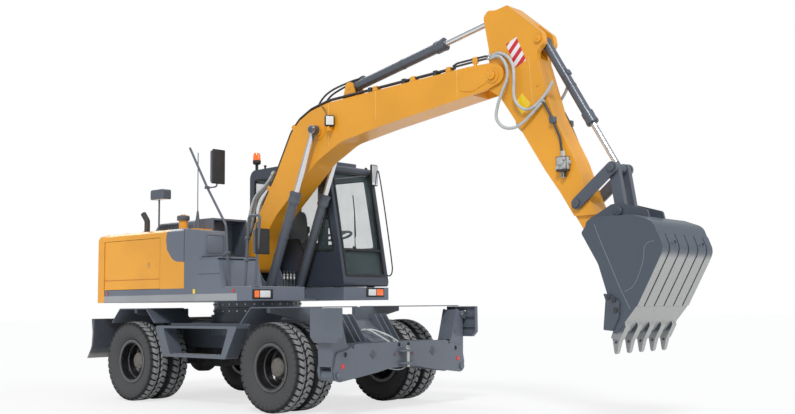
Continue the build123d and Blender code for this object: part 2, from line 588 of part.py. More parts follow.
def blade():
    """Dozer blade on parallel arms with two cylinders."""
    board = [(-2270, 1085, 0), (-2340, 1090, 10), (-2312, 900, 200), (-2330, 700, 200), (-2442, 539, 5),
             (-2420, 539, 5), (-2300, 700, 150), (-2275, 900, 150)]
    link = Vector(BLADE_LINK[0], 0, BLADE_LINK[1])
    blade_body = prism_y(board, -BLADE_HALF_WIDTH, BLADE_HALF_WIDTH)
    lower_end = (BLADE_LOWER_PIN[0] + BLADE_LINK[0], BLADE_LOWER_PIN[1] + BLADE_LINK[1])
    upper_end = (BLADE_UPPER_PIN[0] + BLADE_LINK[0], BLADE_UPPER_PIN[1] + BLADE_LINK[1])
    for sign in (-1, 1):
        for y in (BLADE_ARM_Y - BLADE_LUG_Y, BLADE_ARM_Y + BLADE_LUG_Y):
            ear = [(-2300, 640, 0), (-2150, 660, 40), (-2150, 1020, 40), (-2290, 1060, 0)]
            blade_body += prism_y(ear, sign * y - 10, sign * y + 10)
        for at, outer in ((lower_end, 0), (upper_end, 30)):
            inner_end = BLADE_ARM_Y + BLADE_LUG_Y if outer else BLADE_ARM_Y - BLADE_LUG_Y - 12
            ends = sorted((sign * inner_end, sign * (BLADE_ARM_Y + BLADE_LUG_Y + 12 + outer)))
            blade_body += pin_y(at, BLADE_PIN_RADIUS, *ends)
    save("blade", blade_body)
    bore = BLADE_PIN_RADIUS + RUNNING_GAP
    # node, start, end, width, (middle of a plate in y, half its thickness) from the arm's middle
    bars = [
        ("blade_lower_arms", BLADE_LOWER_PIN, lower_end, 90, [(-BLADE_PLATE_Y, 10), (BLADE_PLATE_Y, 10)]),
        ("blade_upper_links", BLADE_UPPER_PIN, upper_end, 70, [(BLADE_LUG_Y + 26, 10)]),
    ]
    for name, start, end, width, plates in bars:
        shapes = []
        for middle, half in plates:
            y_low, y_high = BLADE_ARM_Y + middle - half, BLADE_ARM_Y + middle + half
            shapes += both_sides(strip_plate(start, end, width, y_low, y_high, [(start, bore), (end, bore)]))
        save(name, *shapes)
    barrels, rods = [], []
    for sign in (-1, 1):
        barrel, rod = cylinder_pair(BLADE_BASE, BLADE_EYE, BLADE_GLAND, BLADE_ROD_START, BLADE_BARREL_RADIUS,
                                    BLADE_ROD_RADIUS,
                                    sign * BLADE_ARM_Y, 60, bore)
        barrels.append(barrel)
        rods.append(rod)
    save("blade_barrels", *barrels)
    save("blade_rods", *rods)


# ---------------------------------------------------------------- upper body
def upper_frame():
    """Deck frame with the boom foot brackets, cylinder lugs and upper race."""
    side = MACHINE_HALF_WIDTH
    deck = [(TAIL_SIDE_X, -side, 0), (DECK_FRONT_X, -side, 60), (DECK_FRONT_X, -SLOT_HALF_WIDTH, 20),
            (-60, -SLOT_HALF_WIDTH, 40),
            (-60, SLOT_HALF_WIDTH, 40), (DECK_FRONT_X, SLOT_HALF_WIDTH, 20), (DECK_FRONT_X, side,
                                                                              60), (TAIL_SIDE_X, side, 0)]
    frame = prism_z(deck, DECK_BOTTOM_Z, DECK_TOP_Z)
    floor = [(-300, -SLOT_HALF_WIDTH - 10, 0), (620, -SLOT_HALF_WIDTH - 10, 60),
             (620, SLOT_HALF_WIDTH + 10, 60), (-300, SLOT_HALF_WIDTH + 10, 0)]
    frame += prism_z(floor, DECK_BOTTOM_Z, DECK_BOTTOM_Z + 30)
    frame += Pos(SLEW_X, 0, RING_SPLIT_Z + RING_GAP) * Cylinder(RING_RADIUS, DECK_BOTTOM_Z - RING_SPLIT_Z,
                                                                align=(Align.CENTER, Align.CENTER, Align.MIN))
    foot_x, foot_z = BOOM_FOOT
    foot = [(-560, DECK_BOTTOM_Z + 10, 0), (480, DECK_BOTTOM_Z + 10, 60), (430, 1500, 60), (120, 1560, 200),
            (foot_x + 120, foot_z + 90, 60), (foot_x - 120, foot_z + 90, 90),
            (foot_x - 280, foot_z - 150, 80), (-560, 1500, 0)]
    inner = FOOT_PLATE_Y
    for plate in both_sides(prism_y(foot, inner, inner + FOOT_SHEET)):
        frame += plate
    lug = [(200, DECK_BOTTOM_Z + 10, 0), (420, DECK_BOTTOM_Z + 10, 0), (372, 1470, 50), (232, 1470, 50)]
    outer_low = LUG_PLATE_Y
    for plate in both_sides(prism_y(lug, outer_low, outer_low + LUG_SHEET)):
        frame += plate
    for x in (CAB_REAR_X + 120, DECK_FRONT_X - 200):
        for y in (CAB_RIGHT_Y + 80, CAB_LEFT_Y - 160):
            frame += Pos(x, y, DECK_TOP_Z) * Cylinder(55, CAB_BOTTOM_Z - DECK_TOP_Z,
                                                      align=(Align.CENTER, Align.CENTER, Align.MIN))
    wall_x = CAB_REAR_X - 45
    deck_underside = HOOD_TOP_Z - DOOR_SHEET
    frame += block((wall_x, -420, DECK_TOP_Z - 1), (wall_x + 20, side - 100, deck_underside - SEAT_GAP))
    cover_x = (ENGINE_LID_X[1] + SIDE_GAP, TANK_BACK_X - 5)
    cover_y = (ENGINE_LID_Y[0] + 3, -SLOT_HALF_WIDTH + 135)
    sheet = ENGINE_LID_SHEET
    frame += block((cover_x[0], cover_y[0], DECK_TOP_Z - 1), (cover_x[1], cover_y[1], ENGINE_LID_TOP_Z))
    frame -= block((cover_x[0] + sheet, cover_y[0] + sheet, DECK_TOP_Z),
                   (cover_x[1] + 1, cover_y[1] - sheet, ENGINE_LID_TOP_Z - sheet))
    frame += pin_y(BOOM_FOOT, PIN_RADIUS, -inner - 30, inner + 30)
    for sign in (-1, 1):
        ends = sorted((sign * inner, sign * (outer_low + LUG_SHEET)))
        frame += pin_y(BOOM_BASE, 32, *ends)
    save("upper_frame", frame)


def tail_face(z_low, z_high):
    """Counterweight body in plan, its rear on the tail swing circle."""
    side = MACHINE_HALF_WIDTH
    corner_x = SLEW_X - math.sqrt(TAIL_RADIUS ** 2 - side ** 2)
    front = Line((TAIL_SIDE_X, side), (TAIL_SIDE_X, -side))
    right = Line((TAIL_SIDE_X, -side), (corner_x, -side))
    rear = ThreePointArc((corner_x, -side), (TAIL_X, 0), (corner_x, side))
    left = Line((corner_x, side), (TAIL_SIDE_X, side))
    return Pos(0, 0, z_low) * extrude(make_face([front, right, rear, left]), z_high - z_low)


def service_door(side):
    """Side door of the engine bay with a flanged panel and a recessed rubbing strip."""
    sign = 1 if side == "left" else -1
    half = MACHINE_HALF_WIDTH
    low, high = DECK_TOP_Z + SIDE_GAP, DOOR_TOP_Z
    front = CAB_REAR_X - 2 * SIDE_GAP if side == "left" else DOOR_FRONT_X - SIDE_GAP
    rear = TAIL_SIDE_X + SIDE_GAP
    door = block((rear, half - DOOR_SHEET, low), (front, half, high))
    door -= block((rear + 40, half - DOOR_SHEET - 1, low + 40), (front - 40, half - 20, high - 40))
    door -= block((rear - 1, half - 10, 1600), (front + 1, half + 1, 1614))
    return door if sign > 0 else mirror(door, about=Plane.XZ)


def tail_and_doors():
    """Cast tail weight with a rounded top edge, and the service doors hinged on its front corners."""
    body = tail_face(DECK_BOTTOM_Z, HOOD_TOP_Z)
    top_edges = body.edges().filter_by_position(Axis.Z, HOOD_TOP_Z - 1, HOOD_TOP_Z + 1)
    rear_edges = [e for e in top_edges if e.center().X < TAIL_SIDE_X - 10]
    body = fillet(rear_edges, 90)
    axis_x, axis_y = TAIL_SIDE_X + SIDE_GAP / 2, MACHINE_HALF_WIDTH - DOOR_AXIS_INSET
    groove = 24.0
    # the fixed lug lies on the inner side of the pin, clear of the opened door's face
    lugs = {"left": (groove + 10, -12, -6), "right": (groove + 10, 6, 12)}
    for side, sign in (("left", 1), ("right", -1)):
        ends = sorted((sign * (axis_y - 5), sign * (MACHINE_HALF_WIDTH + 1)))
        body -= block((axis_x - groove, ends[0], DECK_TOP_Z - 1),
                      (TAIL_SIDE_X + 1, ends[1], DOOR_TOP_Z + SIDE_GAP))
        axis = Plane(origin=(axis_x, sign * axis_y, 0), x_dir=(1, 0, 0), z_dir=(0, 0, 1))
        body, door = hinge(body, service_door(side), axis, (1640, 1990), lugs[side], (34, -6, 6))
        save(f"{side}_service_door", door)
    save("counterweight", body)


def panel_region():
    """Plan of the top deck: open in front for the cab, the boom and the pump cover."""
    side, rear = MACHINE_HALF_WIDTH, TAIL_SIDE_X + SEAT_GAP
    lid_right = ENGINE_LID_Y[0]
    return [(rear, -side, 0), (TANK_BACK_X, -side, 0), (TANK_BACK_X, lid_right, 0),
            (ENGINE_LID_X[1], lid_right, 0),
            (ENGINE_LID_X[1], -215, 0), (-600, -215, 0), (-600, 340, 0), (CAB_REAR_X - 2 * SIDE_GAP, 340, 0),
            (CAB_REAR_X - 2 * SIDE_GAP, side, 0), (rear, side, 0)]


def fairing_region(grow):
    """Side view of the grey fairing that runs from the top deck down to the tank."""
    rows = [(-543, 2330, 0), (-583, 2109, 90), (-559, 1978, 90), (-450, 1857, 120), (-364, 1822, 60),
            (TANK_BACK_X - 2, 1809, 0), (TANK_BACK_X + 50, 1809, 0), (TANK_BACK_X + 50, 2330, 0)]
    return [(x - grow, z - (grow if z < 2300 else 0), r) for x, z, r in rows]


def body_shell():
    """Top deck with sloping side bands, and the right side panel ahead of the door."""
    side, sheet, inner = MACHINE_HALF_WIDTH, DOOR_SHEET, MACHINE_HALF_WIDTH - DOOR_SHEET
    low = DOOR_TOP_Z + SIDE_GAP
    rows = [(-side, low, 0), (-side, HOOD_TOP_Z - 40, 30), (-side + 80, HOOD_TOP_Z, 60),
            (side - 80, HOOD_TOP_Z, 60),
            (side, HOOD_TOP_Z - 40, 30), (side, low, 0), (inner, low, 0), (inner, HOOD_TOP_Z - sheet, 0),
            (-inner, HOOD_TOP_Z - sheet, 0), (-inner, low, 0)]
    shell = prism_x(rows, TAIL_SIDE_X, TANK_BACK_X) & prism_z(panel_region(), DECK_TOP_Z, ENGINE_LID_TOP_Z)
    shell += block((DOOR_FRONT_X, -side, DECK_TOP_Z), (TANK_BACK_X, -inner, low + 4))
    return shell


def body_panels():
    """Yellow top deck and right front panel with the air pre-cleaner's stand."""
    side = MACHINE_HALF_WIDTH
    shell = body_shell() - prism_y(fairing_region(SEAT_GAP), -side - 1, -1100)
    shell -= block((TANK_BACK_X - SEAT_GAP, -side - 1, DECK_TOP_Z), (TANK_BACK_X + 1, side, HOOD_TOP_Z + 1))
    hole_x, hole_y = (ENGINE_LID_X[0] + 60, -660), (ENGINE_LID_Y[0] + 60, ENGINE_LID_Y[1] - 60)
    shell -= block((hole_x[0], hole_y[0], 2000), (hole_x[1], hole_y[1], ENGINE_LID_TOP_Z))
    shell += Pos(-620, -950, HOOD_TOP_Z - 5) * Cylinder(58, 155,
                                                        align=(Align.CENTER, Align.CENTER, Align.MIN))
    shell += Pos(-620, -950, HOOD_TOP_Z + 135) * Cylinder(78, 60,
                                                          align=(Align.CENTER, Align.CENTER, Align.MIN))
    return shell


def engine_bay():
    """Body panels, the raised engine lid on its rear hinges and the plain engine block inside."""
    low_x, high_x = ENGINE_LID_X
    low_y, high_y = ENGINE_LID_Y
    low, sheet = HOOD_TOP_Z + SEAT_GAP, ENGINE_LID_SHEET
    profile = [(low_x, low, 0), (low_x + 110, ENGINE_LID_TOP_Z, 80), (high_x, ENGINE_LID_TOP_Z, 0),
               (high_x, low, 0)]
    hollow = [(low_x + sheet, low - 1, 0), (low_x + 110 + sheet, ENGINE_LID_TOP_Z - sheet, 60),
              (high_x - sheet, ENGINE_LID_TOP_Z - sheet, 0), (high_x - sheet, low - 1, 0)]
    section = [(low_y, low, 0), (low_y + 30, ENGINE_LID_TOP_Z, 50), (high_y - 30, ENGINE_LID_TOP_Z, 50),
               (high_y, low, 0)]
    lid = prism_y(profile, low_y, high_y) & prism_x(section, low_x, high_x)
    lid -= prism_y(hollow, low_y + sheet + 12, high_y - sheet - 12)
    axis = Plane(origin=(low_x - 14, 0, HOOD_TOP_Z + 13), x_dir=(1, 0, 0), z_dir=(0, 1, 0))
    panels, lid = hinge(body_panels(), lid, axis, (-600, 130), (30, 4, 24), (40, -6, 6))
    save("body_panels", panels)
    save("engine_hood", lid)
    engine = block((-1780, -700, DECK_TOP_Z + 20), (-900, 500, 2080))
    engine = fillet(engine.edges().filter_by(Axis.Z), 60)
    engine += block((-1650, -550, DECK_TOP_Z), (-950, 350, DECK_TOP_Z + 21))
    save("engine_block", engine)


def fuel_tank():
    """Tall tank with its recessed front, the lower box with a tray on top and the side fairing."""
    side, back, left = MACHINE_HALF_WIDTH, TANK_BACK_X, TANK_LEFT_Y
    front, beyond = TANK_FRONT_X, 10
    profile = [(back - beyond, DECK_TOP_Z - beyond, 0), (back - beyond, HOOD_TOP_Z - 14, 0),
               (front - 30, 2196, 40), (front + 1, 2150, 30), (front + 1, DECK_TOP_Z - beyond, 0)]
    plan = [(back, -side, 0), (front, -side, 100), (front, left, 100), (back, left, 0)]
    tank = prism_y(profile, -side - beyond, left + beyond) & prism_z(plan, DECK_TOP_Z, HOOD_TOP_Z)
    tank -= prism_x([(-1180, 1900, 30), (-900, 1900, 30), (-900, 2140, 30), (-1180, 2140, 30)], front - 8,
                    front + 1)
    lower = [(back, DECK_TOP_Z, 0), (back, LOWER_TANK_TOP_Z, 0),
             (LOWER_TANK_FRONT_X - 82, LOWER_TANK_TOP_Z, 40),
             (LOWER_TANK_FRONT_X, DECK_TOP_Z, 0)]
    box = prism_y(lower, -side, -600)
    box -= block((back - 10, -side - 1, 1640), (LOWER_TANK_FRONT_X, -side + 8, 1650))
    tray = [(front - 20, LOWER_TANK_TOP_Z - 1, 0), (front - 20, LOWER_TANK_TOP_Z + 28, 0),
            (490, LOWER_TANK_TOP_Z + 28, 10),
            (490, LOWER_TANK_TOP_Z + 4, 0), (440, LOWER_TANK_TOP_Z - 1, 0)]
    box += prism_y(tray, -side + 10, -612)
    fairing = body_shell() & prism_y(fairing_region(0), -side - 1, -1150)
    fairing += block((back - 30, -side + 2, 1820), (back + 30, -side + DOOR_SHEET - 2, HOOD_TOP_Z - 60))
    save("fuel_tank", tank + box + fairing)


def exhaust():
    """Tail pipe that stands on the deck and bends to the rear."""
    foot = HOOD_TOP_Z + SEAT_GAP
    pipe = tube([(-1360, -1000, foot), (-1360, -1000, foot + 170), (-1450, -1000, foot + 270)], 38, 60)
    pipe += Pos(-1360, -1000, foot) * Cylinder(60, 20, align=(Align.CENTER, Align.CENTER, Align.MIN))
    save("exhaust", pipe)


def mirror_head(low, high, thickness):
    """Rounded mirror shell between two (y, z) corners, its glass facing the rear, from x downwards."""
    x, y_low, z_low = low
    _, y_high, z_high = high
    rows = [(y_low, z_low, 35), (y_high, z_low, 35), (y_high, z_high, 35), (y_low, z_high, 35)]
    return prism_x(rows, x - thickness, x)


def handrails():
    """Bent tube rails, mirrors, mast and pole lamp on the right side."""
    y, foot, deck = -1150.0, DECK_TOP_Z + SEAT_GAP, HOOD_TOP_Z + SEAT_GAP
    below = block((-500, y - 100, foot - 100), (DECK_FRONT_X + 200, y + 100, foot))
    rail = tube([(877, y, foot - 50), (945, y, 2328), (1146, y, 2328), (1057, y, foot - 50)], 17, 45) - below
    low_mirror = mirror_head((1100, -1180, 1866), (1100, -974, 2166), 45)
    rail += tube([(1125, y, 2240), (1088, y, 2240), (1078, y, 2110)], 10, 25) + low_mirror
    pole = tube([(579, y, foot - 50), (511, y, 2245), (130, y, 2751), (-227, y, 3289)], 15, 150) - below
    high_mirror = mirror_head((352, -1240, 2776), (352, -1058, 3200), 45)
    pole += tube([(140, y, 2738), (330, y, 2738), (330, y, 2830)], 10, 40) + high_mirror
    mast = Pos(-250, -1000, deck) * Cone(40, 12, 230, align=(Align.CENTER, Align.CENTER, Align.MIN))
    mast += bar((-250, -1000, deck + 200), (-250, -1000, 3247), 6)
    lamp = bar((-1090, -1000, deck), (-1090, -1000, 2700), 12)
    lamp += bar((-1090, -1000, deck), (-1090, -1000, deck + 12), 45)
    lamp += prism_y([(-1207, 2690, 20), (-909, 2690, 20), (-909, 2822, 30), (-1207, 2822, 30)], -1060, -940)
    save("handrails", rail, pole, mast, lamp)


# ---------------------------------------------------------------- cab
def roof_z(x):
    """Height of the cab roof's upper face in side view."""
    if x < 200:
        return CAB_ROOF_Z - 20 * (200 - x) / (200 - CAB_REAR_X)
    return CAB_ROOF_Z - 70 * (x - 200) / 590


def roof_hatch(shell):
    """Raised lid over the roof opening, hinged along its rear edge."""
    low_x, high_x = HATCH_X
    low_y, high_y = HATCH_Y
    lift = SEAT_GAP
    profile = [(low_x, roof_z(low_x) + lift, 0), (200, CAB_ROOF_Z + lift, 600),
               (high_x, roof_z(high_x) + lift, 0),
               (high_x - 30, roof_z(high_x) + HATCH_HEIGHT, 20), (200, CAB_ROOF_Z + HATCH_HEIGHT + 6, 600),
               (low_x + 25, roof_z(low_x) + HATCH_HEIGHT, 20)]
    plan = [(low_x, low_y, 60), (high_x, low_y, 90), (high_x, high_y, 90), (low_x, high_y, 60)]
    lid = prism_y(profile, low_y, high_y) & prism_z(plan, CAB_ROOF_Z - 200, CAB_ROOF_Z + 200)
    axis = Plane(origin=(low_x - 14, 0, roof_z(low_x) + 15), x_dir=(1, 0, 0), z_dir=(0, 1, 0))
    return hinge(shell, lid, axis, (low_y + 150, high_y - 150), (30, 4, 24), (44, -6, 6))


def cab():
    """Hollow cab: frame with window openings, fixed panes, door, roof hatch."""
    side_rows = [(CAB_REAR_X, CAB_BOTTOM_Z, 60), (CAB_REAR_X, CAB_ROOF_Z - 20, 120), (200, CAB_ROOF_Z, 600),
                 (790, CAB_ROOF_Z - 70, 110),
                 (1075, CAB_BOTTOM_Z + 60, 60), (1060, CAB_BOTTOM_Z, 30)]
    shell = prism_y(side_rows, CAB_RIGHT_Y, CAB_LEFT_Y)
    inner_rows = [(CAB_REAR_X + 50, CAB_BOTTOM_Z + 50, 30), (CAB_REAR_X + 50, CAB_ROOF_Z - 85, 90),
                  (200, CAB_ROOF_Z - 65, 600),
                  (750, CAB_ROOF_Z - 125, 80), (1020, CAB_BOTTOM_Z + 110, 30), (1005, CAB_BOTTOM_Z + 50, 20)]
    shell -= prism_y(inner_rows, CAB_RIGHT_Y + 40, CAB_LEFT_Y - 40)
    door_rows = [(-180, CAB_BOTTOM_Z + 40, 30), (-180, CAB_ROOF_Z - 130, 60), (700, CAB_ROOF_Z - 150, 60),
                 (960, CAB_BOTTOM_Z + 200, 60), (930, CAB_BOTTOM_Z + 40, 30)]
    door_hole = prism_y(door_rows, CAB_LEFT_Y - 60, CAB_LEFT_Y + 10)
    rear_side = [(CAB_REAR_X + 90, 2130, 40), (CAB_REAR_X + 90, CAB_ROOF_Z - 150, 60),
                 (-260, CAB_ROOF_Z - 140, 60), (-260, 2130, 40)]
    right_side = [(CAB_REAR_X + 90, 2130, 40), (CAB_REAR_X + 90, CAB_ROOF_Z - 150, 60),
                  (680, CAB_ROOF_Z - 160, 60), (905, 1950, 60), (300, 1950, 60), (200, 2130, 60)]
    shell -= door_hole
    shell -= prism_y(rear_side, CAB_LEFT_Y - 60, CAB_LEFT_Y + 10)
    shell -= prism_y(right_side, CAB_RIGHT_Y - 10, CAB_RIGHT_Y + 60)
    y_low, y_high = CAB_RIGHT_Y + 55, CAB_LEFT_Y - 55
    front_cut = [(y_low, CAB_BOTTOM_Z + 130, 40), (y_high, CAB_BOTTOM_Z + 130, 40),
                 (y_high, CAB_ROOF_Z - 150, 60), (y_low, CAB_ROOF_Z - 150, 60)]
    shell -= prism_x(front_cut, 650, 1200)
    rear_cut = [(y_low, 2300, 40), (y_high, 2300, 40), (y_high, CAB_ROOF_Z - 170, 60),
                (y_low, CAB_ROOF_Z - 170, 60)]
    shell -= prism_x(rear_cut, CAB_REAR_X - 10, CAB_REAR_X + 60)
    hatch = [(-50, CAB_RIGHT_Y + 150, 50), (520, CAB_RIGHT_Y + 150, 50), (520, CAB_LEFT_Y - 150, 50),
             (-50, CAB_LEFT_Y - 150, 50)]
    shell -= prism_z(hatch, CAB_ROOF_Z - 200, CAB_ROOF_Z + 50)
    shell, lid = roof_hatch(shell)
    save("roof_hatch", lid)
    right_pane = prism_y([(x, z, r) for x, z, r in right_side], CAB_RIGHT_Y + 15, CAB_RIGHT_Y + 15 + GLASS)
    left_pane = prism_y(rear_side, CAB_LEFT_Y - 15 - GLASS, CAB_LEFT_Y - 15)
    rear_pane = prism_x(rear_cut, CAB_REAR_X + 20, CAB_REAR_X + 20 + GLASS)
    slope = math.atan2(CAB_ROOF_Z - 70 - CAB_BOTTOM_Z - 60, 790 - 1075)
    normal = Vector(math.sin(slope), 0, -math.cos(slope))
    offset_in = normal * -28
    top_at, low_at = (790 + offset_in.X, CAB_ROOF_Z - 70 + offset_in.Z), (1075 + offset_in.X,
                                                                          CAB_BOTTOM_Z + 60 + offset_in.Z)
    thick = normal * -GLASS
    strip = [(top_at[0], top_at[1], 0), (low_at[0], low_at[1], 0),
             (low_at[0] + thick.X, low_at[1] + thick.Z, 0), (top_at[0] + thick.X, top_at[1] + thick.Z, 0)]
    front_pane = prism_y(strip, y_low, y_high) & prism_x(front_cut, 600, 1200)
    save("cab_glass", right_pane, left_pane, rear_pane, front_pane)
    g = SIDE_GAP
    door_outer = [(-180 + g, CAB_BOTTOM_Z + 40 + g, 26), (-180 + g, CAB_ROOF_Z - 130 - g, 56),
                  (700 - g, CAB_ROOF_Z - 150 - g, 56), (960 - g, CAB_BOTTOM_Z + 200, 56), (930 - g,
                                                                                           CAB_BOTTOM_Z + 40 + g, 26)]
    door_window = [(-110, CAB_BOTTOM_Z + 520, 50), (-110, CAB_ROOF_Z - 200, 50), (655, CAB_ROOF_Z - 215, 50),
                   (840, CAB_BOTTOM_Z + 520, 60)]
    door = prism_y(door_outer, CAB_LEFT_Y - 38, CAB_LEFT_Y) - prism_y(door_window, CAB_LEFT_Y - 60,
                                                                      CAB_LEFT_Y + 10)
    axis = Plane(origin=(-180 + g / 2, CAB_LEFT_Y + 2, 0), x_dir=(1, 0, 0), z_dir=(0, 0, 1))
    shell, door = hinge(shell, door, axis, (1760, 2800), (44, -10, 5), (44, -10, 5))
    save("cab_frame", shell)
    save("cab_door", door)
    save("cab_door_glass", prism_y(door_window, CAB_LEFT_Y - 22, CAB_LEFT_Y - 22 + GLASS))
    floor_z = CAB_BOTTOM_Z + 50
    seat_rows = [(-330, floor_z + 329, 0), (150, floor_z + 329, 0), (190, floor_z + 370, 30),
                 (190, floor_z + 450, 50), (-230, floor_z + 440, 60),
                 (-310, floor_z + 1020, 50), (-420, floor_z + 1010, 50)]
    seat = prism_y(seat_rows, 620, 1010)
    save("driver_seat", seat)
    console = block((-380, 600, floor_z), (150, 1030, floor_z + 329))
    for y in (480, 1045):
        console += block((-250, y, floor_z), (280, y + 110, floor_z + 560))
    wheel_at = Vector(545, 790, floor_z + 650)
    column = bar((726, 790, floor_z - 20), wheel_at, 35)
    column -= block((600, 700, floor_z - 60), (900, 880, floor_z + SEAT_GAP))
    tilt = Plane(origin=wheel_at, z_dir=Vector(-0.28, 0, 1))
    column += tilt * Torus(185, 16)
    column += tilt * Box(370, 30, 14)
    save("cab_console", console, column)


# ---------------------------------------------------------------- working gear
def boom():
    """One-piece box boom, bent at the cylinder boss, with foot boss and nose fork."""
    foot_x, foot_z = BOOM_FOOT
    rows = [
        (foot_x - 100, foot_z - 90, 90), (foot_x + 115, foot_z - 105, 90), (92, 2130, 300), (350, 2440,
                                                                                             400), (1113,
                                                                                                    3075, 500),
        (1546, 3285, 500), (2227, 3395, 600), (3462, 3560, 300), (3800, 3600, 60), (4045, 3680, 90),
        (4040, 3850, 110), *reversed(BOOM_BACK), (foot_x - 120, foot_z + 90, 100),
    ]
    body = prism_y(rows, -BOOM_HALF_WIDTH, BOOM_HALF_WIDTH)
    fork = ARM_HALF_WIDTH + SIDE_GAP
    pocket = [(3560, 3400, 0), (3640, 3750, 120), (3500, 3850, 60), (3440, 4100, 0), (4300, 4100, 0),
              (4300, 3400, 0)]
    body -= prism_y(pocket, -fork, fork)
    body -= pin_y(BOOM_FOOT, PIN_RADIUS + RUNNING_GAP, -BOOM_HALF_WIDTH - 1, BOOM_HALF_WIDTH + 1)
    body += pin_y(BOOM_NOSE, PIN_RADIUS, -BOOM_HALF_WIDTH - 22, BOOM_HALF_WIDTH + 22)
    for sign in (-1, 1):
        ends = sorted((sign * (BOOM_HALF_WIDTH - 5), sign * (BOOM_CYLINDER_Y - 52 - 3)))
        body += pin_y(BOOM_EYE, 70, *ends)
        for at, radius in ((BOOM_EYE, 120), (BOOM_NOSE, 82)):
            body += pin_y(at, radius, *sorted((sign * (BOOM_HALF_WIDTH - 5), sign * (BOOM_HALF_WIDTH + 10))))
    lug = [(1480, 3740, 0), (1760, 3760, 0), (1668, 4040, 50), (1568, 4040, 50)]
    for plate in both_sides(prism_y(lug, ARM_BARREL_RADIUS + SIDE_GAP, ARM_BARREL_RADIUS + SIDE_GAP + 25)):
        body += plate
    body += pin_y(ARM_BASE, 32, -100, 100)
    save("boom", body)
    barrels, rods = [], []
    for sign in (-1, 1):
        barrel, rod = cylinder_pair(BOOM_BASE, BOOM_EYE, BOOM_GLAND, BOOM_ROD_START, BOOM_BARREL_RADIUS,
                                    BOOM_ROD_RADIUS,
                                    sign * BOOM_CYLINDER_Y, 92, 32 + RUNNING_GAP)
        barrels.append(barrel)
        rods.append(rod)
    save("boom_barrels", *barrels)
    save("boom_rods", *rods)
    barrel, rod = cylinder_pair(ARM_BASE, ARM_EYE, ARM_GLAND, ARM_ROD_START, ARM_BARREL_RADIUS,
                                ARM_ROD_RADIUS, 0, 108,
                                32 + RUNNING_GAP)
    save("arm_barrel", barrel)
    save("arm_rod", rod)


def boom_lines():
    """Steel pipes along both edges of the boom's back, held in clamps."""
    route = offset_points([(x, z) for x, z, _ in BOOM_BACK[:-1]], LINE_LIFT)
    start = (route[0][0] + 0.3 * (route[1][0] - route[0][0]), route[0][1] + 0.3 * (route[1][1] - route[0][1]))
    end = (route[-2][0] + 0.9 * (route[-1][0] - route[-2][0]),
           route[-2][1] + 0.9 * (route[-1][1] - route[-2][1]))
    route = [start] + route[1:-1] + [end]
    radii = [r + LINE_LIFT for _, _, r in BOOM_BACK[1:-2]]
    # share of a straight run, and which run it is on
    clamps = [(0, 0.7), (2, 0.35), (5, 0.36), (5, 0.63), (5, 0.87)]
    sides = []
    for sign in (-1, 1):
        shape = None
        for y in (BOOM_HALF_WIDTH - 30, BOOM_HALF_WIDTH - 62):
            path = FilletPolyline(*[(x, sign * y, z) for x, z in route], radius=radii)
            line = sweep(Plane(origin=path @ 0, z_dir=path % 0) * Circle(LINE_RADIUS), path=path)
            shape = line if shape is None else shape + line
        for run, share in clamps:
            a, b = Vector(*route[run]), Vector(*route[run + 1])
            at, way = a + (b - a) * share, (b - a).normalized()
            plane = Plane(origin=(at.X, sign * (BOOM_HALF_WIDTH - 46), at.Y), x_dir=(way.X, 0, way.Y),
                          z_dir=(-way.Y, 0, way.X))
            height = LINE_LIFT - SEAT_GAP
            shape += plane * Pos(0, 0, -height) * Box(50, 84, height + 20,
                                                      align=(Align.CENTER, Align.CENTER, Align.MIN))
        sides.append(shape)
    save("boom_lines", *sides)


def arm():
    """Box arm with its head plates, cylinder ears and tip boss."""
    head = [
        (3765, 4440, 60), (3830, 4510, 60), (3929, 4490, 200), (4066, 4514, 30), (4090, 4520, 20), (4540,
                                                                                                    4135, 60),
        (4560, 4020, 60), (4470, 3940, 60), (4468, 3838, 60), (4600, 3384, 300), (4640, 3238, 300), (4904,
                                                                                                     2710, 300), (5002, 2442, 200),
        (5170, 2030, 60), (5130, 1900, 60), (5020, 1920, 60), (4965, 1991, 100), (4713, 2393, 300), (4535,
                                                                                                     2641, 300), (4166, 3224, 300),
        (3973, 3506, 200), (3830, 3600, 60), (3770, 3720, 90), (3835, 3900, 200), (3835, 4060, 200),
    ]
    body = prism_y(head, -ARM_HALF_WIDTH, ARM_HALF_WIDTH)
    slot = 66.0
    eye_slot = [(3600, 4300, 0), (3600, 4600, 0), (4000, 4600, 0), (3960, 4380, 60), (3900, 4320, 60),
                (3700, 4310, 0)]
    body -= prism_y(eye_slot, -slot, slot)
    body -= pin_y(BOOM_NOSE, PIN_RADIUS + RUNNING_GAP, -ARM_HALF_WIDTH - 1, ARM_HALF_WIDTH + 1)
    base_slot = [(4370, 4350, 0), (4800, 4350, 0), (4800, 3700, 0), (4480, 3840, 60), (4390, 3980, 60)]
    body -= prism_y(base_slot, -slot, slot)
    body += pin_y(BUCKET_BASE, 30, -ARM_HALF_WIDTH - 10, ARM_HALF_WIDTH + 10)
    tip = 110.0
    for sign in (-1, 1):
        low, high = sorted((sign * tip, sign * (ARM_HALF_WIDTH + 1)))
        body -= block((4700, low, 1800), (5300, high, 2130))
    body -= pin_y(BUCKET_PIN, PIN_RADIUS + RUNNING_GAP, -tip - 1, tip + 1)
    body += pin_y(LEVER_PIN, PIN_RADIUS, -ARM_HALF_WIDTH - 45, ARM_HALF_WIDTH + 45)
    save("arm", body)
    barrel, rod = cylinder_pair(BUCKET_BASE, LINK_PIN, BUCKET_GLAND, BUCKET_ROD_START, BUCKET_BARREL_RADIUS,
                                BUCKET_ROD_RADIUS, 0, 104, 30 + RUNNING_GAP)
    save("bucket_barrel", barrel)
    save("bucket_rod", rod)


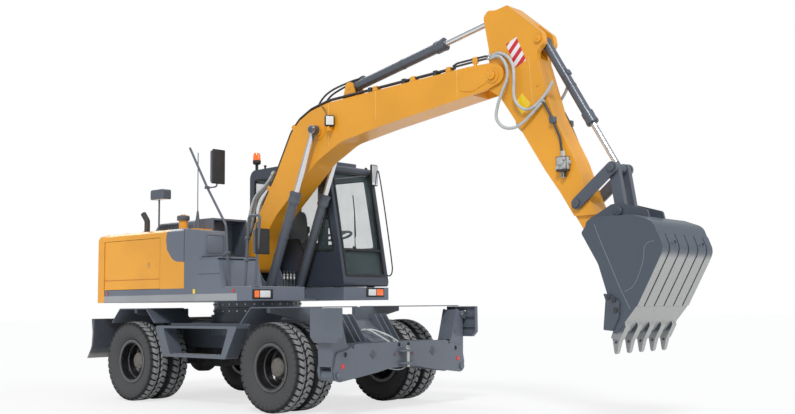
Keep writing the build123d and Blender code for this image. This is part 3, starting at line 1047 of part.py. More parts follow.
def arm_lines():
    """Pipe, clamp and hose-burst valve on each side of the arm."""
    points = [(4555, 3370), (4650, 3195), (4750, 2960), (4775, 2745)]
    clamp_at, valve = (4665, 3158), ((4716, 2540), (4842, 2755))
    face, middle = ARM_HALF_WIDTH + SEAT_GAP, ARM_HALF_WIDTH + 30
    shape = tube([(x, middle, z) for x, z in points], LINE_RADIUS, 90)
    shape += block((clamp_at[0] - 32, face, clamp_at[1] - 30),
                   (clamp_at[0] + 32, middle + 22, clamp_at[1] + 30))
    shape += block((valve[0][0], face, valve[0][1] + 60), (valve[1][0], middle + 40, valve[1][1]))
    shape += bar((4779, middle, valve[0][1]), (4779, middle, valve[0][1] + 70), 26)
    save("arm_lines", *both_sides(shape))


def strip_plate(start, end, width, y_low, y_high, bores):
    """Link plate with round ends between two XZ points, with bores at the given ends."""
    way = Vector(end[0] - start[0], 0, end[1] - start[1])
    tilt = math.degrees(math.atan2(way.Z, way.X))
    middle = ((start[0] + end[0]) / 2, (start[1] + end[1]) / 2)
    face = Plane.XZ * (Pos(*middle) * Rot(0, 0, tilt) * SlotCenterToCenter(way.length, width))
    plate = Pos(0, y_high, 0) * extrude(face, y_high - y_low)
    for at, radius in bores:
        plate -= pin_y(at, radius, y_low - 1, y_high + 1)
    return plate


def bucket_linkage():
    """Two levers on the arm and one link hung on the bucket; their shared pin shows as caps."""
    levers = []
    for sign in (-1, 1):
        low, high = sorted((sign * (ARM_HALF_WIDTH + SIDE_GAP), sign * (ARM_HALF_WIDTH + SIDE_GAP + 30)))
        lever = strip_plate(LEVER_PIN, LINK_PIN, 120, low, high, [(LEVER_PIN, PIN_RADIUS + RUNNING_GAP)])
        cap = sorted((sign * (ARM_HALF_WIDTH + SIDE_GAP + 25), sign * (ARM_HALF_WIDTH + SIDE_GAP + 42)))
        levers.append(lever + pin_y(LINK_PIN, 34, *cap))
    save("lever_links", *levers)
    link = pin_y(BUCKET_LINK_PIN, 60, -LINK_HALF_WIDTH, LINK_HALF_WIDTH)
    for sign in (-1, 1):
        low, high = sorted((sign * 70, sign * LINK_HALF_WIDTH))
        link += strip_plate(LINK_PIN, BUCKET_LINK_PIN, 110, low, high, [])
    link -= pin_y(BUCKET_LINK_PIN, PIN_RADIUS + RUNNING_GAP, -LINK_HALF_WIDTH - 1, LINK_HALF_WIDTH + 1)
    save("bucket_link", link)


def bucket():
    """Open digging bucket: curved back, side plates, lip, cutters, teeth, wear strips and ears."""
    outer = [(5193, 1919, 30), (5309, 2069, 40), (5752, 2066, 120), (5960, 1990, 120),
             (BUCKET_BACK_X, 1740, 140),
             (5916, 1480, 300), (5752, 1185, 0), (5560, 960, 0), (5470, 975, 20), (5470, 1291, 100), (5372,
                                                                                                      1610, 200)]
    inner = [(5100, 1880, 0), (5215, 1950, 20), (5330, 2046, 20), (5745, 2042, 100), (5940, 1972, 100),
             (6030, 1738, 120),
             (5894, 1490, 300), (5731, 1197, 0), (5545, 985, 0), (5400, 900, 0), (5100, 1300, 0)]
    half = BUCKET_HALF_WIDTH
    full = prism_y(outer, -half, half)
    shell = full - prism_y(inner, -half + 25, half - 25)
    shell += wear_strips(outer, half)
    for i in range(TOOTH_COUNT):
        shell += bucket_tooth((i - (TOOTH_COUNT - 1) / 2) * TOOTH_PITCH)
    cutter = [(5428, 1330, 10), (5453, 1263, 10), (5422, 978, 10), (5518, 969, 10), (5586, 1092, 20),
              (5602, 1242, 20), (5519, 1300, 20)]
    for plate in both_sides(prism_y(cutter, half - 5, half + 22)):
        shell += plate
    ear = [(5290, 2000, 0), (5120, 1900, 60), (5020, 1900, 60), (5030, 2060, 60), (5330, 2218, 70),
           (5440, 2220, 60),
           (5719, 2140, 30), (5740, 2050, 0)]
    inside = LINK_HALF_WIDTH + 10
    for plate in both_sides(prism_y(ear, inside, inside + 30)):
        shell += plate
    shell += pin_y(BUCKET_PIN, PIN_RADIUS, -inside - 45, inside + 45)
    shell += pin_y(BUCKET_LINK_PIN, PIN_RADIUS, -inside - 45, inside + 45)
    save("bucket", shell)


def wear_strips(outer, half):
    """Raised strips down the bucket's back, with a groove between neighbours."""
    groove, lift = 30.0, Vector(8, 0, -5)
    strips = Pos(lift) * prism_y(outer, -half, half) - prism_y(outer, -half - 1, half + 1)
    strips &= block((5700, -half, 1200), (BUCKET_BACK_X + 20, half, 1880))
    for i in range(TOOTH_COUNT):
        y = (i - (TOOTH_COUNT - 1) / 2) * 200.0
        strips -= block((5600, y - groove / 2, 1100), (BUCKET_BACK_X + 30, y + groove / 2, 1900))
    return strips


def bucket_tooth(y):
    """Adapter welded on the lip, and a wedge tip that narrows to its point."""
    adapter = [(5625, 1085, 0), (5540, 1050, 10), (5478, 900, 10), (5570, 880, 10), (5640, 1010, 10)]
    tip = [(5490, 905, 0), (5503, 760, 0), (5516, 749, 0), (5532, 765, 0), (5566, 890, 0)]
    taper = [(y - 38, 910, 0), (y - 26, 740, 0), (y + 26, 740, 0), (y + 38, 910, 0)]
    return prism_y(adapter, y - 46, y + 46) + (prism_y(tip, y - 40, y + 40) & prism_x(taper, 5480, 5580))


def main():
    for axle in AXLE_X:
        for side in ("left", "right"):
            wheel(axle, side)
    for side in ("left", "right"):
        knuckle(side)
        outrigger(side)
    track_rod()
    front_axle()
    rear_axle()
    chassis()
    fenders()
    side_steps()
    outrigger_beam()
    blade()
    upper_frame()
    tail_and_doors()
    engine_bay()
    fuel_tank()
    exhaust()
    handrails()
    cab()
    boom()
    boom_lines()
    arm()
    arm_lines()
    bucket_linkage()
    bucket()


main()
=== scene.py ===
"""Wheeled excavator: finishes, trim, tyres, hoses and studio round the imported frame.

Sizes below are in the machine's own millimetres: +X forward from a zero between the axles, +Y to
the left, +Z up from the ground. place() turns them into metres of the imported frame.
"""
from __future__ import annotations

import json
import logging
import math
from dataclasses import dataclass, field
from enum import Enum
from typing import Callable, Iterable, Sequence

import bmesh
import bpy
import numpy as np
from mathutils import Matrix, Vector

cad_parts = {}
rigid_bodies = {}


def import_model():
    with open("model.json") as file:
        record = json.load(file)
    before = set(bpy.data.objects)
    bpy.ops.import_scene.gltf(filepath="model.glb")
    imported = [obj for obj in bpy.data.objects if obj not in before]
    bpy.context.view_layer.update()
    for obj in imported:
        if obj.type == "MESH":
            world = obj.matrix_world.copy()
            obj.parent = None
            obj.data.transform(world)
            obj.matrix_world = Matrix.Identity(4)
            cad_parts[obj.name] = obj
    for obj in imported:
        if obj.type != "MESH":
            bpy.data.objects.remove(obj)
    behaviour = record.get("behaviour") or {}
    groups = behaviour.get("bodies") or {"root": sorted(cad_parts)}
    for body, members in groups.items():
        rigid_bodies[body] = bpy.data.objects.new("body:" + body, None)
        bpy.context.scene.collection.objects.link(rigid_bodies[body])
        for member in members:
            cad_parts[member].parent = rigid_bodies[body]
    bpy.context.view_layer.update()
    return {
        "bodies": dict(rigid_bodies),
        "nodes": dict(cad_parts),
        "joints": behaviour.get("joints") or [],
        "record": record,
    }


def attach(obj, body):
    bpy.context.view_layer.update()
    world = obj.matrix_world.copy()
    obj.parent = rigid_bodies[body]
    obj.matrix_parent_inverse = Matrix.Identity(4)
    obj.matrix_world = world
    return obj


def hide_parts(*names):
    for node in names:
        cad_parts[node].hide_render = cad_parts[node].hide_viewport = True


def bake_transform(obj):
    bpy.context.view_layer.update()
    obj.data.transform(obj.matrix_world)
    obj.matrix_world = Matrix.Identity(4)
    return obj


LOG = logging.getLogger("excavator")

ORIGIN_SHIFT = np.array((1768.5, 0.0, 0.0))
MILLI = 0.001
FULL_TURN = 2 * math.pi

AXLES = {"front": 1400.0, "rear": -1380.0}
WHEEL_RADIUS = 525.0
WHEEL_Y = 952.5
CAB_FLOOR = 1540.0
BOOM_CYLINDER_BASE = (300.0, 0.0, 1420.0)
BOOM_ROD_EYE = (1150.0, 0.0, 3470.0)
ARM_CYLINDER_BASE = (1618.0, 0.0, 3981.0)
ARM_ROD_EYE = (3830.0, 0.0, 4430.0)
BUCKET_CYLINDER_BASE = (4487.0, 0.0, 4066.0)
BUCKET_ROD_EYE = (5340.0, 0.0, 2590.0)

Colour = tuple[float, float, float]
Point = Sequence[float]


class Side(Enum):
    """Which side of the machine a piece is on, with the sign of its Y."""

    LEFT = 1
    RIGHT = -1

    @property
    def word(self) -> str:
        """Lower-case name used in body and piece names."""
        return self.name.lower()


class Axis(Enum):
    """Direction that a profile is extruded or turned along."""

    X = 0
    Y = 1
    Z = 2

    @property
    def frame(self) -> tuple[np.ndarray, np.ndarray, np.ndarray]:
        """Unit vectors: first and second across, then along."""
        unit = np.eye(3)
        if self is Axis.X:
            return unit[1], unit[2], unit[0]
        if self is Axis.Y:
            return unit[0], unit[2], unit[1]
        return unit[0], unit[1], unit[2]


def place(points: Iterable[Point] | np.ndarray) -> np.ndarray:
    """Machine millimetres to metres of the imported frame: subtract the shift, then scale."""
    return (np.asarray(points, dtype=float) - ORIGIN_SHIFT) * MILLI


def in_frame(point: Point) -> tuple[float, float, float]:
    """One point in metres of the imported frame."""
    return tuple(place(point).tolist())


def shade(colour: Colour, factor: float) -> Colour:
    """A colour times a factor, no channel over 1."""
    return tuple(min(1.0, channel * factor) for channel in colour)


# ---------------------------------------------------------------- surfaces
@dataclass
class Surface:
    """Points in machine millimetres and groups of equal-sided faces."""

    points: np.ndarray
    faces: list[np.ndarray] = field(default_factory=list)

    def __add__(self, other: "Surface") -> "Surface":
        """Both surfaces in one, the second's indices raised by the first's count."""
        step = len(self.points)
        return Surface(np.vstack((self.points, other.points)),
                       self.faces + [group + step for group in other.faces])

    def moved(self, by: Point) -> "Surface":
        """The surface shifted by a vector."""
        return Surface(self.points + np.asarray(by, dtype=float), self.faces)

    def turned(self, axis: Axis, degrees: float, about: Point = (0, 0, 0)) -> "Surface":
        """The surface turned about an axis through a point.

        Args:
            axis: the axis to turn about.
            degrees: right-handed angle.
            about: a point on the axis.

        Returns:
            The turned surface: about + R (p - about).
        """
        turn = np.array(Matrix.Rotation(math.radians(degrees), 3, axis.name))
        centre = np.asarray(about, dtype=float)
        return Surface((self.points - centre) @ turn.T + centre, self.faces)

    def mirrored(self) -> "Surface":
        """The surface on the other side of the machine, with its faces turned to stay outward."""
        flip = np.array((1.0, -1.0, 1.0))
        return Surface(self.points * flip, [group[:, ::-1] for group in self.faces])

    def on(self, side: Side) -> "Surface":
        """The surface as drawn for the left side, or mirrored for the right."""
        return self if side is Side.LEFT else self.mirrored()

    def both(self) -> "Surface":
        """The surface and its mirror image."""
        return self + self.mirrored()


def together(parts: Iterable[Surface]) -> Surface:
    """One surface of many."""
    parts = list(parts)
    total = parts[0]
    for part in parts[1:]:
        total = total + part
    return total


def grid(points: np.ndarray, wrap_rows: bool = False, caps: bool = False) -> Surface:
    """Quads between the rows and columns of a table of points, whose last column joins the first.

    Args:
        points: array of rows x columns x 3.
        wrap_rows: join the last row to the first.
        caps: close the first and last row with one face each.

    Returns:
        The surface: quad (i, j) holds (i, j), (i, j+1), (i+1, j+1), (i+1, j).
    """
    rows, columns, _ = points.shape
    index = np.arange(rows * columns).reshape(rows, columns)
    if wrap_rows:
        index = np.vstack((index, index[:1]))
    index = np.hstack((index, index[:, :1]))
    quads = np.stack((index[:-1, :-1], index[:-1, 1:], index[1:, 1:], index[1:, :-1]), axis=-1)
    faces = [quads.reshape(-1, 4)]
    if caps:
        faces += [np.arange(columns)[None, ::-1], (rows - 1) * columns + np.arange(columns)[None, :]]
    return Surface(points.reshape(-1, 3), faces)


def unit(vectors: np.ndarray) -> np.ndarray:
    """Vectors divided by their lengths."""
    return vectors / np.linalg.norm(vectors, axis=-1, keepdims=True)


def turned(profile: Sequence[tuple[float, float]], centre: Point, axis: Axis, sides: int = 32) -> Surface:
    """A profile turned about an axis.

    Args:
        profile: rows of (place along the axis, radius).
        centre: point on the axis that the profile's zero lies on.
        axis: direction of the axis.
        sides: number of steps round it.

    Returns:
        Closed surface: centre + a*along + r*(cos t*first + sin t*second), flat at both ends.
    """
    first, second, along = axis.frame
    table = np.asarray(profile, dtype=float)
    angle = np.arange(sides) * FULL_TURN / sides
    ring = np.cos(angle)[:, None] * first + np.sin(angle)[:, None] * second
    points = np.asarray(centre) + table[:, 0, None, None] * along + table[:, 1, None, None] * ring
    return grid(points, caps=True)


def hoop(profile: Sequence[tuple[float, float]], centre: Point, axis: Axis, sides: int = 48) -> Surface:
    """A closed profile turned about an axis that it stays clear of.

    Args:
        profile: closed rows of (place along the axis, radius).
        centre: point on the axis that the profile's zero lies on.
        axis: direction of the axis.
        sides: number of steps round it.

    Returns:
        A ring with no caps, whose last row joins the first.
    """
    open_ring = turned(profile, centre, axis, sides)
    return grid(open_ring.points.reshape(len(profile), sides, 3), wrap_rows=True)


def extruded(outline: Sequence[tuple[float, float]], axis: Axis, low: float, high: float) -> Surface:
    """A flat outline carried along an axis.

    Args:
        outline: rows of the two coordinates across the axis.
        axis: direction of the extrusion.
        low: where it starts.
        high: where it ends.

    Returns:
        Closed prism with one face at each end.
    """
    first, second, along = axis.frame
    table = np.asarray(outline, dtype=float)
    flat = table[:, :1] * first + table[:, 1:] * second
    return grid(np.stack((flat + low * along, flat + high * along)), caps=True)


def rounded_outline(corners: Sequence[tuple[float, float]], radius: float, steps: int = 5) -> np.ndarray:
    """A polygon with each corner replaced by a quadratic curve that starts a radius before it.

    Args:
        corners: the polygon's corners.
        radius: distance from the corner at which the curve starts and ends.
        steps: points on each curve.

    Returns:
        Rows of two coordinates: (1-t)^2 a + 2t(1-t) corner + t^2 b for every corner.
    """
    table = np.asarray(corners, dtype=float)
    before = table + unit(np.roll(table, 1, axis=0) - table) * radius
    after = table + unit(np.roll(table, -1, axis=0) - table) * radius
    t = np.linspace(0, 1, steps)[None, :, None]
    curve = (1 - t) ** 2 * before[:, None] + 2 * t * (1 - t) * table[:, None] + t ** 2 * after[:, None]
    return curve.reshape(-1, 2)


def rounded_box(low: Point, high: Point, radius: float, steps: int = 3) -> Surface:
    """A box whose edges and corners are rounded.

    Args:
        low: lowest corner.
        high: highest corner.
        radius: of the edges.
        steps: steps in each quarter turn.

    Returns:
        Closed surface: centre + sign*(half size - radius) + radius*direction, where the directions
        run over a ball in eight parts and sign is that of each part.
    """
    low_at, high_at = np.asarray(low, float), np.asarray(high, float)
    centre, half = (low_at + high_at) / 2, (high_at - low_at) / 2
    radius = min(radius, half.min() * 0.98)
    quarter = np.linspace(0, math.pi / 2, steps + 1)
    azimuth = (quarter[None, :] + np.arange(4)[:, None] * math.pi / 2).ravel()
    sign_x = np.repeat((1, -1, -1, 1), steps + 1)
    sign_y = np.repeat((1, 1, -1, -1), steps + 1)
    elevation = np.concatenate((quarter - math.pi / 2, quarter))
    sign_z = np.repeat((-1, 1), steps + 1)
    across = np.cos(elevation)[:, None]
    direction = np.stack((across * np.cos(azimuth), across * np.sin(azimuth),
                          np.repeat(np.sin(elevation)[:, None], azimuth.size, axis=1)), axis=-1)
    sign = np.stack(np.broadcast_arrays(sign_x[None, :], sign_y[None, :], sign_z[:, None]), axis=-1)
    return grid(centre + sign * (half - radius) + radius * direction, caps=True)


def smooth_path(points: Sequence[Point], steps: int = 10) -> np.ndarray:
    """A curve through points.

    Args:
        points: the points it passes through.
        steps: points on each stretch.

    Returns:
        Catmull-Rom curve: each stretch is the cubic whose ends have the slope between the
        neighbouring points.
    """
    table = np.asarray(points, dtype=float)
    padded = np.vstack((2 * table[0] - table[1], table, 2 * table[-1] - table[-2]))
    t = np.linspace(0, 1, steps, endpoint=False)[None, :, None]
    a, b, c, d = (padded[k:len(padded) - 3 + k, None, :] for k in range(4))
    curve = 0.5 * (2 * b + (c - a) * t + (2 * a - 5 * b + 4 * c - d) * t ** 2
                   + (3 * b - a - 3 * c + d) * t ** 3)
    return np.vstack((curve.reshape(-1, 3), table[-1:]))


def swept(path: np.ndarray, radius: float | np.ndarray, sides: int = 12,
          reference: Point = (0.0, 1.0, 0.0)) -> Surface:
    """A round section carried along a path.

    Args:
        path: rows of three coordinates.
        radius: one radius, or one for each row.
        sides: number of sides of the section.
        reference: direction that the path never runs along.

    Returns:
        Closed tube: p + r*(cos t*n + sin t*b), where n is the path's direction crossed with the
        reference and b completes the frame.
    """
    ahead = unit(np.gradient(path, axis=0))
    normal = unit(np.cross(ahead, np.asarray(reference, float)))
    other = np.cross(ahead, normal)
    angle = np.arange(sides) * FULL_TURN / sides
    radii = np.broadcast_to(np.asarray(radius, float), len(path))[:, None, None]
    ring = np.cos(angle)[None, :, None] * normal[:, None] + np.sin(angle)[None, :, None] * other[:, None]
    return grid(path[:, None] + radii * ring, caps=True)


def hose(points: Sequence[Point], radius: float, ribs: float = 0.0,
         reference: Point = (0, 1, 0)) -> Surface:
    """A flexible hose through points, with an optional ribbed guard.

    Args:
        points: the points it passes through.
        radius: of the hose.
        ribs: share of the radius by which the guard's ribs stand proud.
        reference: direction that the hose never runs along.

    Returns:
        A tube whose radius is r*(1 + ribs) and r*(1 - ribs) by turns along its length.
    """
    path = smooth_path(points, 8)
    if not ribs:
        return swept(path, radius, reference=reference)
    run = np.concatenate(((0,), np.cumsum(np.linalg.norm(np.diff(path, axis=0), axis=1))))
    pitch = radius * 0.9
    even = np.arange(0, run[-1], pitch / 2)
    path = np.stack([np.interp(even, run, path[:, k]) for k in range(3)], axis=-1)
    wave = np.where(np.arange(len(even)) % 2, 1.0, -1.0)
    return swept(path, radius * (1 + ribs * wave), reference=reference)


HEX_HEAD = ((0, 1.0), (0.55, 1.0), (0.7, 0.86))


def bolt(centre: Point, axis: Axis, size: float, sign: float = 1.0) -> Surface:
    """A hexagonal bolt head on a washer.

    Args:
        centre: middle of its seat.
        axis: direction of the bolt.
        size: radius over the corners.
        sign: 1 if the head stands towards the axis's positive end.

    Returns:
        The washer and the head, as turned profiles of 16 and 6 sides.
    """
    washer = [(0, size * 1.25), (sign * size * 0.18, size * 1.25), (sign * size * 0.2, size * 1.15)]
    head = [(sign * size * (0.15 + a), size * r) for a, r in HEX_HEAD]
    return turned(washer, centre, axis, 16) + turned(head, centre, axis, 6)


def ring_of(piece: Callable[[Point], Surface], centre: Point, axis: Axis, radius: float, count: int,
            start: float = 0.0) -> Surface:
    """Copies of a piece round a circle.

    Args:
        piece: makes the piece at a centre.
        centre: of the circle.
        axis: of the circle.
        radius: of the circle.
        count: number of copies.
        start: degrees at which the first stands.

    Returns:
        All copies in one surface.
    """
    first, second, _ = axis.frame
    angles = np.radians(start) + np.arange(count) * FULL_TURN / count
    spots = np.asarray(centre) + radius * (np.cos(angles)[:, None] * first + np.sin(angles)[:, None] * second)
    return together(piece(spot) for spot in spots)


def cushion(low: Point, high: Point, power: float, crown: float,
            channels: Sequence[float] = ()) -> Surface:
    """A crowned closed cushion with sewn channels across its top.

    Args:
        low: lowest corner.
        high: highest corner.
        power: 1 for a ball, nearer 0 for a box.
        crown: height by which the middle of the upper side swells.
        channels: shares of its length (X) at which a seam is drawn in.

    Returns:
        Closed surface: half size times sign*|cos|^power and |sin|^power of two angles, then raised by
        crown*(1-x^2)(1-y^2) and drawn in along the channels.
    """
    low_at, high_at = np.asarray(low, float), np.asarray(high, float)
    centre, half = (low_at + high_at) / 2, (high_at - low_at) / 2
    rows, columns, pole_gap = 36, 64, 0.02
    seam_depth, seam_width = 0.12, 0.035

    def shaped(value: np.ndarray) -> np.ndarray:
        """Sign times magnitude to the power."""
        return np.sign(value) * np.abs(value) ** power

    elevation = np.linspace(-math.pi / 2 + pole_gap, math.pi / 2 - pole_gap, rows)[:, None]
    azimuth = (np.arange(columns) * FULL_TURN / columns)[None, :]
    x = shaped(np.cos(elevation)) * shaped(np.cos(azimuth))
    y = shaped(np.cos(elevation)) * shaped(np.sin(azimuth))
    z = shaped(np.sin(elevation)) * np.ones_like(azimuth)
    top = np.clip(z, 0, 1)
    swell = crown / half[2] * (1 - x ** 2) * (1 - y ** 2) * top
    for share in channels:
        swell = swell - seam_depth * np.exp(-((x - (2 * share - 1)) / seam_width) ** 2) * top
    return grid(centre + half * np.stack((x, y, z + swell), axis=-1), caps=True)


# ---------------------------------------------------------------- shader writing
class Value:
    """A number on a socket that can be written in sums."""

    def __init__(self, recipe: "Recipe", source: bpy.types.NodeSocket) -> None:
        """Keep the recipe it belongs to and its socket."""
        self.recipe = recipe
        self.source = source

    def _apply(self, operation: str, *terms: "Value | float") -> "Value":
        """One Math node with these terms."""
        inputs = {k: term for k, term in enumerate(terms)}
        return Value(self.recipe, self.recipe.node("ShaderNodeMath", {"operation": operation}, inputs))

    def __add__(self, other: "Value | float") -> "Value":
        """self + other."""
        return self._apply("ADD", self, other)

    def __radd__(self, other: float) -> "Value":
        """other + self."""
        return self._apply("ADD", other, self)

    def __sub__(self, other: "Value | float") -> "Value":
        """self - other."""
        return self._apply("SUBTRACT", self, other)

    def __rsub__(self, other: float) -> "Value":
        """other - self."""
        return self._apply("SUBTRACT", other, self)

    def __mul__(self, other: "Value | float") -> "Value":
        """self * other."""
        return self._apply("MULTIPLY", self, other)

    def __rmul__(self, other: float) -> "Value":
        """other * self."""
        return self._apply("MULTIPLY", other, self)

    def __truediv__(self, other: "Value | float") -> "Value":
        """self / other."""
        return self._apply("DIVIDE", self, other)

    def __pow__(self, other: float) -> "Value":
        """self to the power other."""
        return self._apply("POWER", self, other)

    def size(self) -> "Value":
        """Its magnitude."""
        return self._apply("ABSOLUTE", self)

    def part(self) -> "Value":
        """What is left after its whole number."""
        return self._apply("FRACT", self)

    def least(self, other: "Value | float") -> "Value":
        """The smaller of two."""
        return self._apply("MINIMUM", self, other)

    def most(self, other: "Value | float") -> "Value":
        """The larger of two."""
        return self._apply("MAXIMUM", self, other)

    def between(self, low: float, high: float) -> "Value":
        """0 below low, 1 above high, smooth in between."""
        mapped = self.recipe.node("ShaderNodeMapRange", {"interpolation_type": "SMOOTHSTEP"},
                                  {"Value": self, "From Min": low, "From Max": high})
        return Value(self.recipe, mapped)


class Recipe:
    """One material, or the world, and its node tree."""

    def __init__(self, name: str, world: bpy.types.World | None = None) -> None:
        """Start an empty tree in a new material, or in the world that is handed in."""
        self.material = world or bpy.data.materials.new(name)
        self.material.use_nodes = True
        self.tree = self.material.node_tree
        self.tree.nodes.clear()
        self.spot = self.node("ShaderNodeTexCoord", output="Object")

    def node(self, kind: str, settings: dict | None = None, inputs: dict | None = None,
             output: str | int = 0) -> bpy.types.NodeSocket:
        """Any node.

        Args:
            kind: the node's type.
            settings: properties, set before the sockets.
            inputs: socket name or number to a value, a Value or a socket.
            output: the output to hand back.

        Returns:
            That output socket.
        """
        made = self.tree.nodes.new(kind)
        for key, setting in (settings or {}).items():
            setattr(made, key, setting)
        for key, value in (inputs or {}).items():
            self.feed(made.inputs[key], value)
        return made.outputs[output]

    def feed(self, socket: bpy.types.NodeSocket, value: object) -> None:
        """Link a Value or socket, or set a plain number or colour."""
        if isinstance(value, Value):
            value = value.source
        if isinstance(value, bpy.types.NodeSocket):
            self.tree.links.new(value, socket)
        elif isinstance(value, tuple) and len(value) == 3 and socket.type == "RGBA":
            socket.default_value = (*value, 1.0)
        else:
            socket.default_value = value

    def along(self, axis: Axis) -> Value:
        """The object's own X, Y or Z in metres."""
        split = self.node("ShaderNodeSeparateXYZ", None, {0: self.spot}, output=axis.value)
        return Value(self, split)

    def noise(self, scale: float, detail: float = 3.0, stretch: Point | None = None) -> Value:
        """Smooth noise from 0 to 1, with an optional stretch of the coordinates."""
        where = self.spot
        if stretch is not None:
            where = self.node("ShaderNodeMapping", None, {"Vector": where, "Scale": tuple(stretch)})
        return Value(self, self.node("ShaderNodeTexNoise", None,
                                     {"Vector": where, "Scale": scale, "Detail": detail}))

    def cells(self, scale: float) -> Value:
        """Distance to the nearest of scattered points."""
        return Value(self, self.node("ShaderNodeTexVoronoi", None, {"Vector": self.spot, "Scale": scale}))

    def mix(self, factor: Value, first: object, second: object) -> bpy.types.NodeSocket:
        """A colour between two, by the Mix node's colour sockets."""
        return self.node("ShaderNodeMix", {"data_type": "RGBA"}, {0: factor, 6: first, 7: second}, output=2)

    def bump(self, height: Value, strength: float, distance: float) -> bpy.types.NodeSocket:
        """A normal bent by a height."""
        return self.node("ShaderNodeBump", None, {"Strength": strength, "Distance": distance,
                                                  "Height": height})

    def surface(self, **sockets: object) -> bpy.types.Material:
        """Close the tree with a Principled shader.

        Args:
            sockets: Principled sockets with _ for each space.

        Returns:
            The finished material.
        """
        named = {key.replace("_", " "): value for key, value in sockets.items()}
        self.close(self.node("ShaderNodeBsdfPrincipled", None, named))
        return self.material

    def close(self, shader: bpy.types.NodeSocket, kind: str = "ShaderNodeOutputMaterial") -> None:
        """Link a shader to the output of the material or the world."""
        made = self.tree.nodes.new(kind)
        self.tree.links.new(shader, made.inputs["Surface"])


_MADE: dict[object, bpy.types.Material] = {}


class Finish:
    """Base of the finishes: each is made once and kept."""

    def material(self) -> bpy.types.Material:
        """The material, made on first use."""
        if self not in _MADE:
            _MADE[self] = self.brew()
        return _MADE[self]

    def brew(self) -> bpy.types.Material:
        """Write the material's nodes."""
        raise NotImplementedError


@dataclass(frozen=True)
class Enamel(Finish):
    """Machine enamel with orange peel, faint changes of tone and dust low down."""

    name: str
    colour: Colour
    gloss: float = 0.34
    dust: float = 0.25
    metal: float = 0.0
    bare_below: float | None = None
    bare: Colour = (0.40, 0.39, 0.38)

    def brew(self) -> bpy.types.Material:
        """Paint, dust mask (noise times a fall-off with height) and optional bare steel below a line."""
        made = Recipe(self.name)
        broad = made.noise(1.3, 3)
        fine = made.noise(14.0, 5)
        height = made.along(Axis.Z)
        tone = made.mix(broad.between(0.32, 0.68), shade(self.colour, 0.94), shade(self.colour, 1.06))
        low = 1 - height.between(0.25, 2.0)
        dusty = fine.between(0.30, 0.80) * (0.15 + 0.85 * low) * self.dust
        tone = made.mix(dusty, tone, (0.25, 0.235, 0.21))
        rough = self.gloss + 0.14 * fine + 0.30 * dusty
        metal: Value | float = self.metal
        if self.bare_below is not None:
            edge = height + 0.05 * (made.noise(9.0, 4) - 0.5)
            worn = 1 - edge.between(self.bare_below - 0.03, self.bare_below + 0.03)
            brushed = made.noise(60.0, 3, (1, 1, 0.12))
            steel = made.mix(brushed, shade(self.bare, 0.7), self.bare)
            tone = made.mix(worn, tone, steel)
            rough = rough * (1 - worn) + worn * (0.38 + 0.2 * brushed)
            metal = 0.75 * worn
        peel = made.noise(260.0, 2)
        return made.surface(Base_Color=tone, Roughness=rough, Metallic=metal, Coat_Weight=0.25,
                            Coat_Roughness=0.12, Normal=made.bump(peel, 0.10, 0.001))


@dataclass(frozen=True)
class BucketSteel(Finish):
    """Painted sides, with bare ground steel on the lower back, the lip and the teeth."""

    name: str
    colour: Colour
    bare: Colour
    half_width: float = 0.532
    back_top: float = 1.68

    def brew(self) -> bpy.types.Material:
        """The bare mask joins the back (a normal towards the world's X, below a height) with the teeth."""
        made = Recipe(self.name)
        across, height = made.along(Axis.Y), made.along(Axis.Z)
        fine, brushed = made.noise(22.0, 5), made.noise(75.0, 3, (0.15, 1, 0.15))
        facing = made.node("ShaderNodeNewGeometry", output="True Normal")
        forward = Value(made, made.node("ShaderNodeSeparateXYZ", None, {0: facing}))
        edge = height + 0.03 * (fine - 0.5)
        back = forward.between(0.35, 0.6) * (1 - edge.between(self.back_top - 0.04, self.back_top + 0.04))
        shaded = 1 - across.size().between(self.half_width, self.half_width + 0.004)
        teeth = (1 - edge.between(0.93, 0.97)) * 0.55
        worn = (back * shaded).most(teeth)
        steel = made.mix(brushed, shade(self.bare, 0.82), self.bare)
        paint = made.mix(fine, shade(self.colour, 0.94), shade(self.colour, 1.06))
        tone = made.mix(worn, paint, steel)
        rough = 0.36 + 0.1 * fine + worn * (0.10 + 0.12 * brushed)
        return made.surface(Base_Color=tone, Roughness=rough, Metallic=0.5 * worn, Coat_Weight=0.2,
                            Normal=made.bump(brushed, 0.12, 0.001))


@dataclass(frozen=True)
class Casting(Finish):
    """Painted casting: coarse skin and road dust."""

    name: str
    colour: Colour

    def brew(self) -> bpy.types.Material:
        """Two noises: skin for the bump, and dust for colour and roughness."""
        made = Recipe(self.name)
        skin, dust = made.noise(95.0, 4), made.noise(7.0, 5)
        tone = made.mix(dust.between(0.35, 0.80) * 0.22, self.colour, (0.18, 0.165, 0.145))
        return made.surface(Base_Color=tone, Roughness=0.62 + 0.25 * dust,
                            Normal=made.bump(skin, 0.35, 0.003))


@dataclass(frozen=True)
class RodChrome(Finish):
    """Polished rod whose eye end is painted as the barrel is."""

    name: str
    eye: tuple[float, float, float]
    reach: float
    paint: Colour

    def brew(self) -> bpy.types.Material:
        """Chrome where the distance from the eye is over the reach, enamel nearer to it."""
        made = Recipe(self.name)
        gap = made.node("ShaderNodeVectorMath", {"operation": "DISTANCE"},
                        {0: made.spot, 1: in_frame(self.eye)}, output=1)
        shiny = Value(made, gap).between(self.reach - 0.004, self.reach + 0.004)
        haze = made.noise(40.0, 3)
        tone = made.mix(shiny, self.paint, made.mix(haze, (0.66, 0.67, 0.68), (0.80, 0.80, 0.80)))
        return made.surface(Base_Color=tone, Metallic=shiny, Roughness=0.40 - 0.26 * shiny + 0.06 * haze)


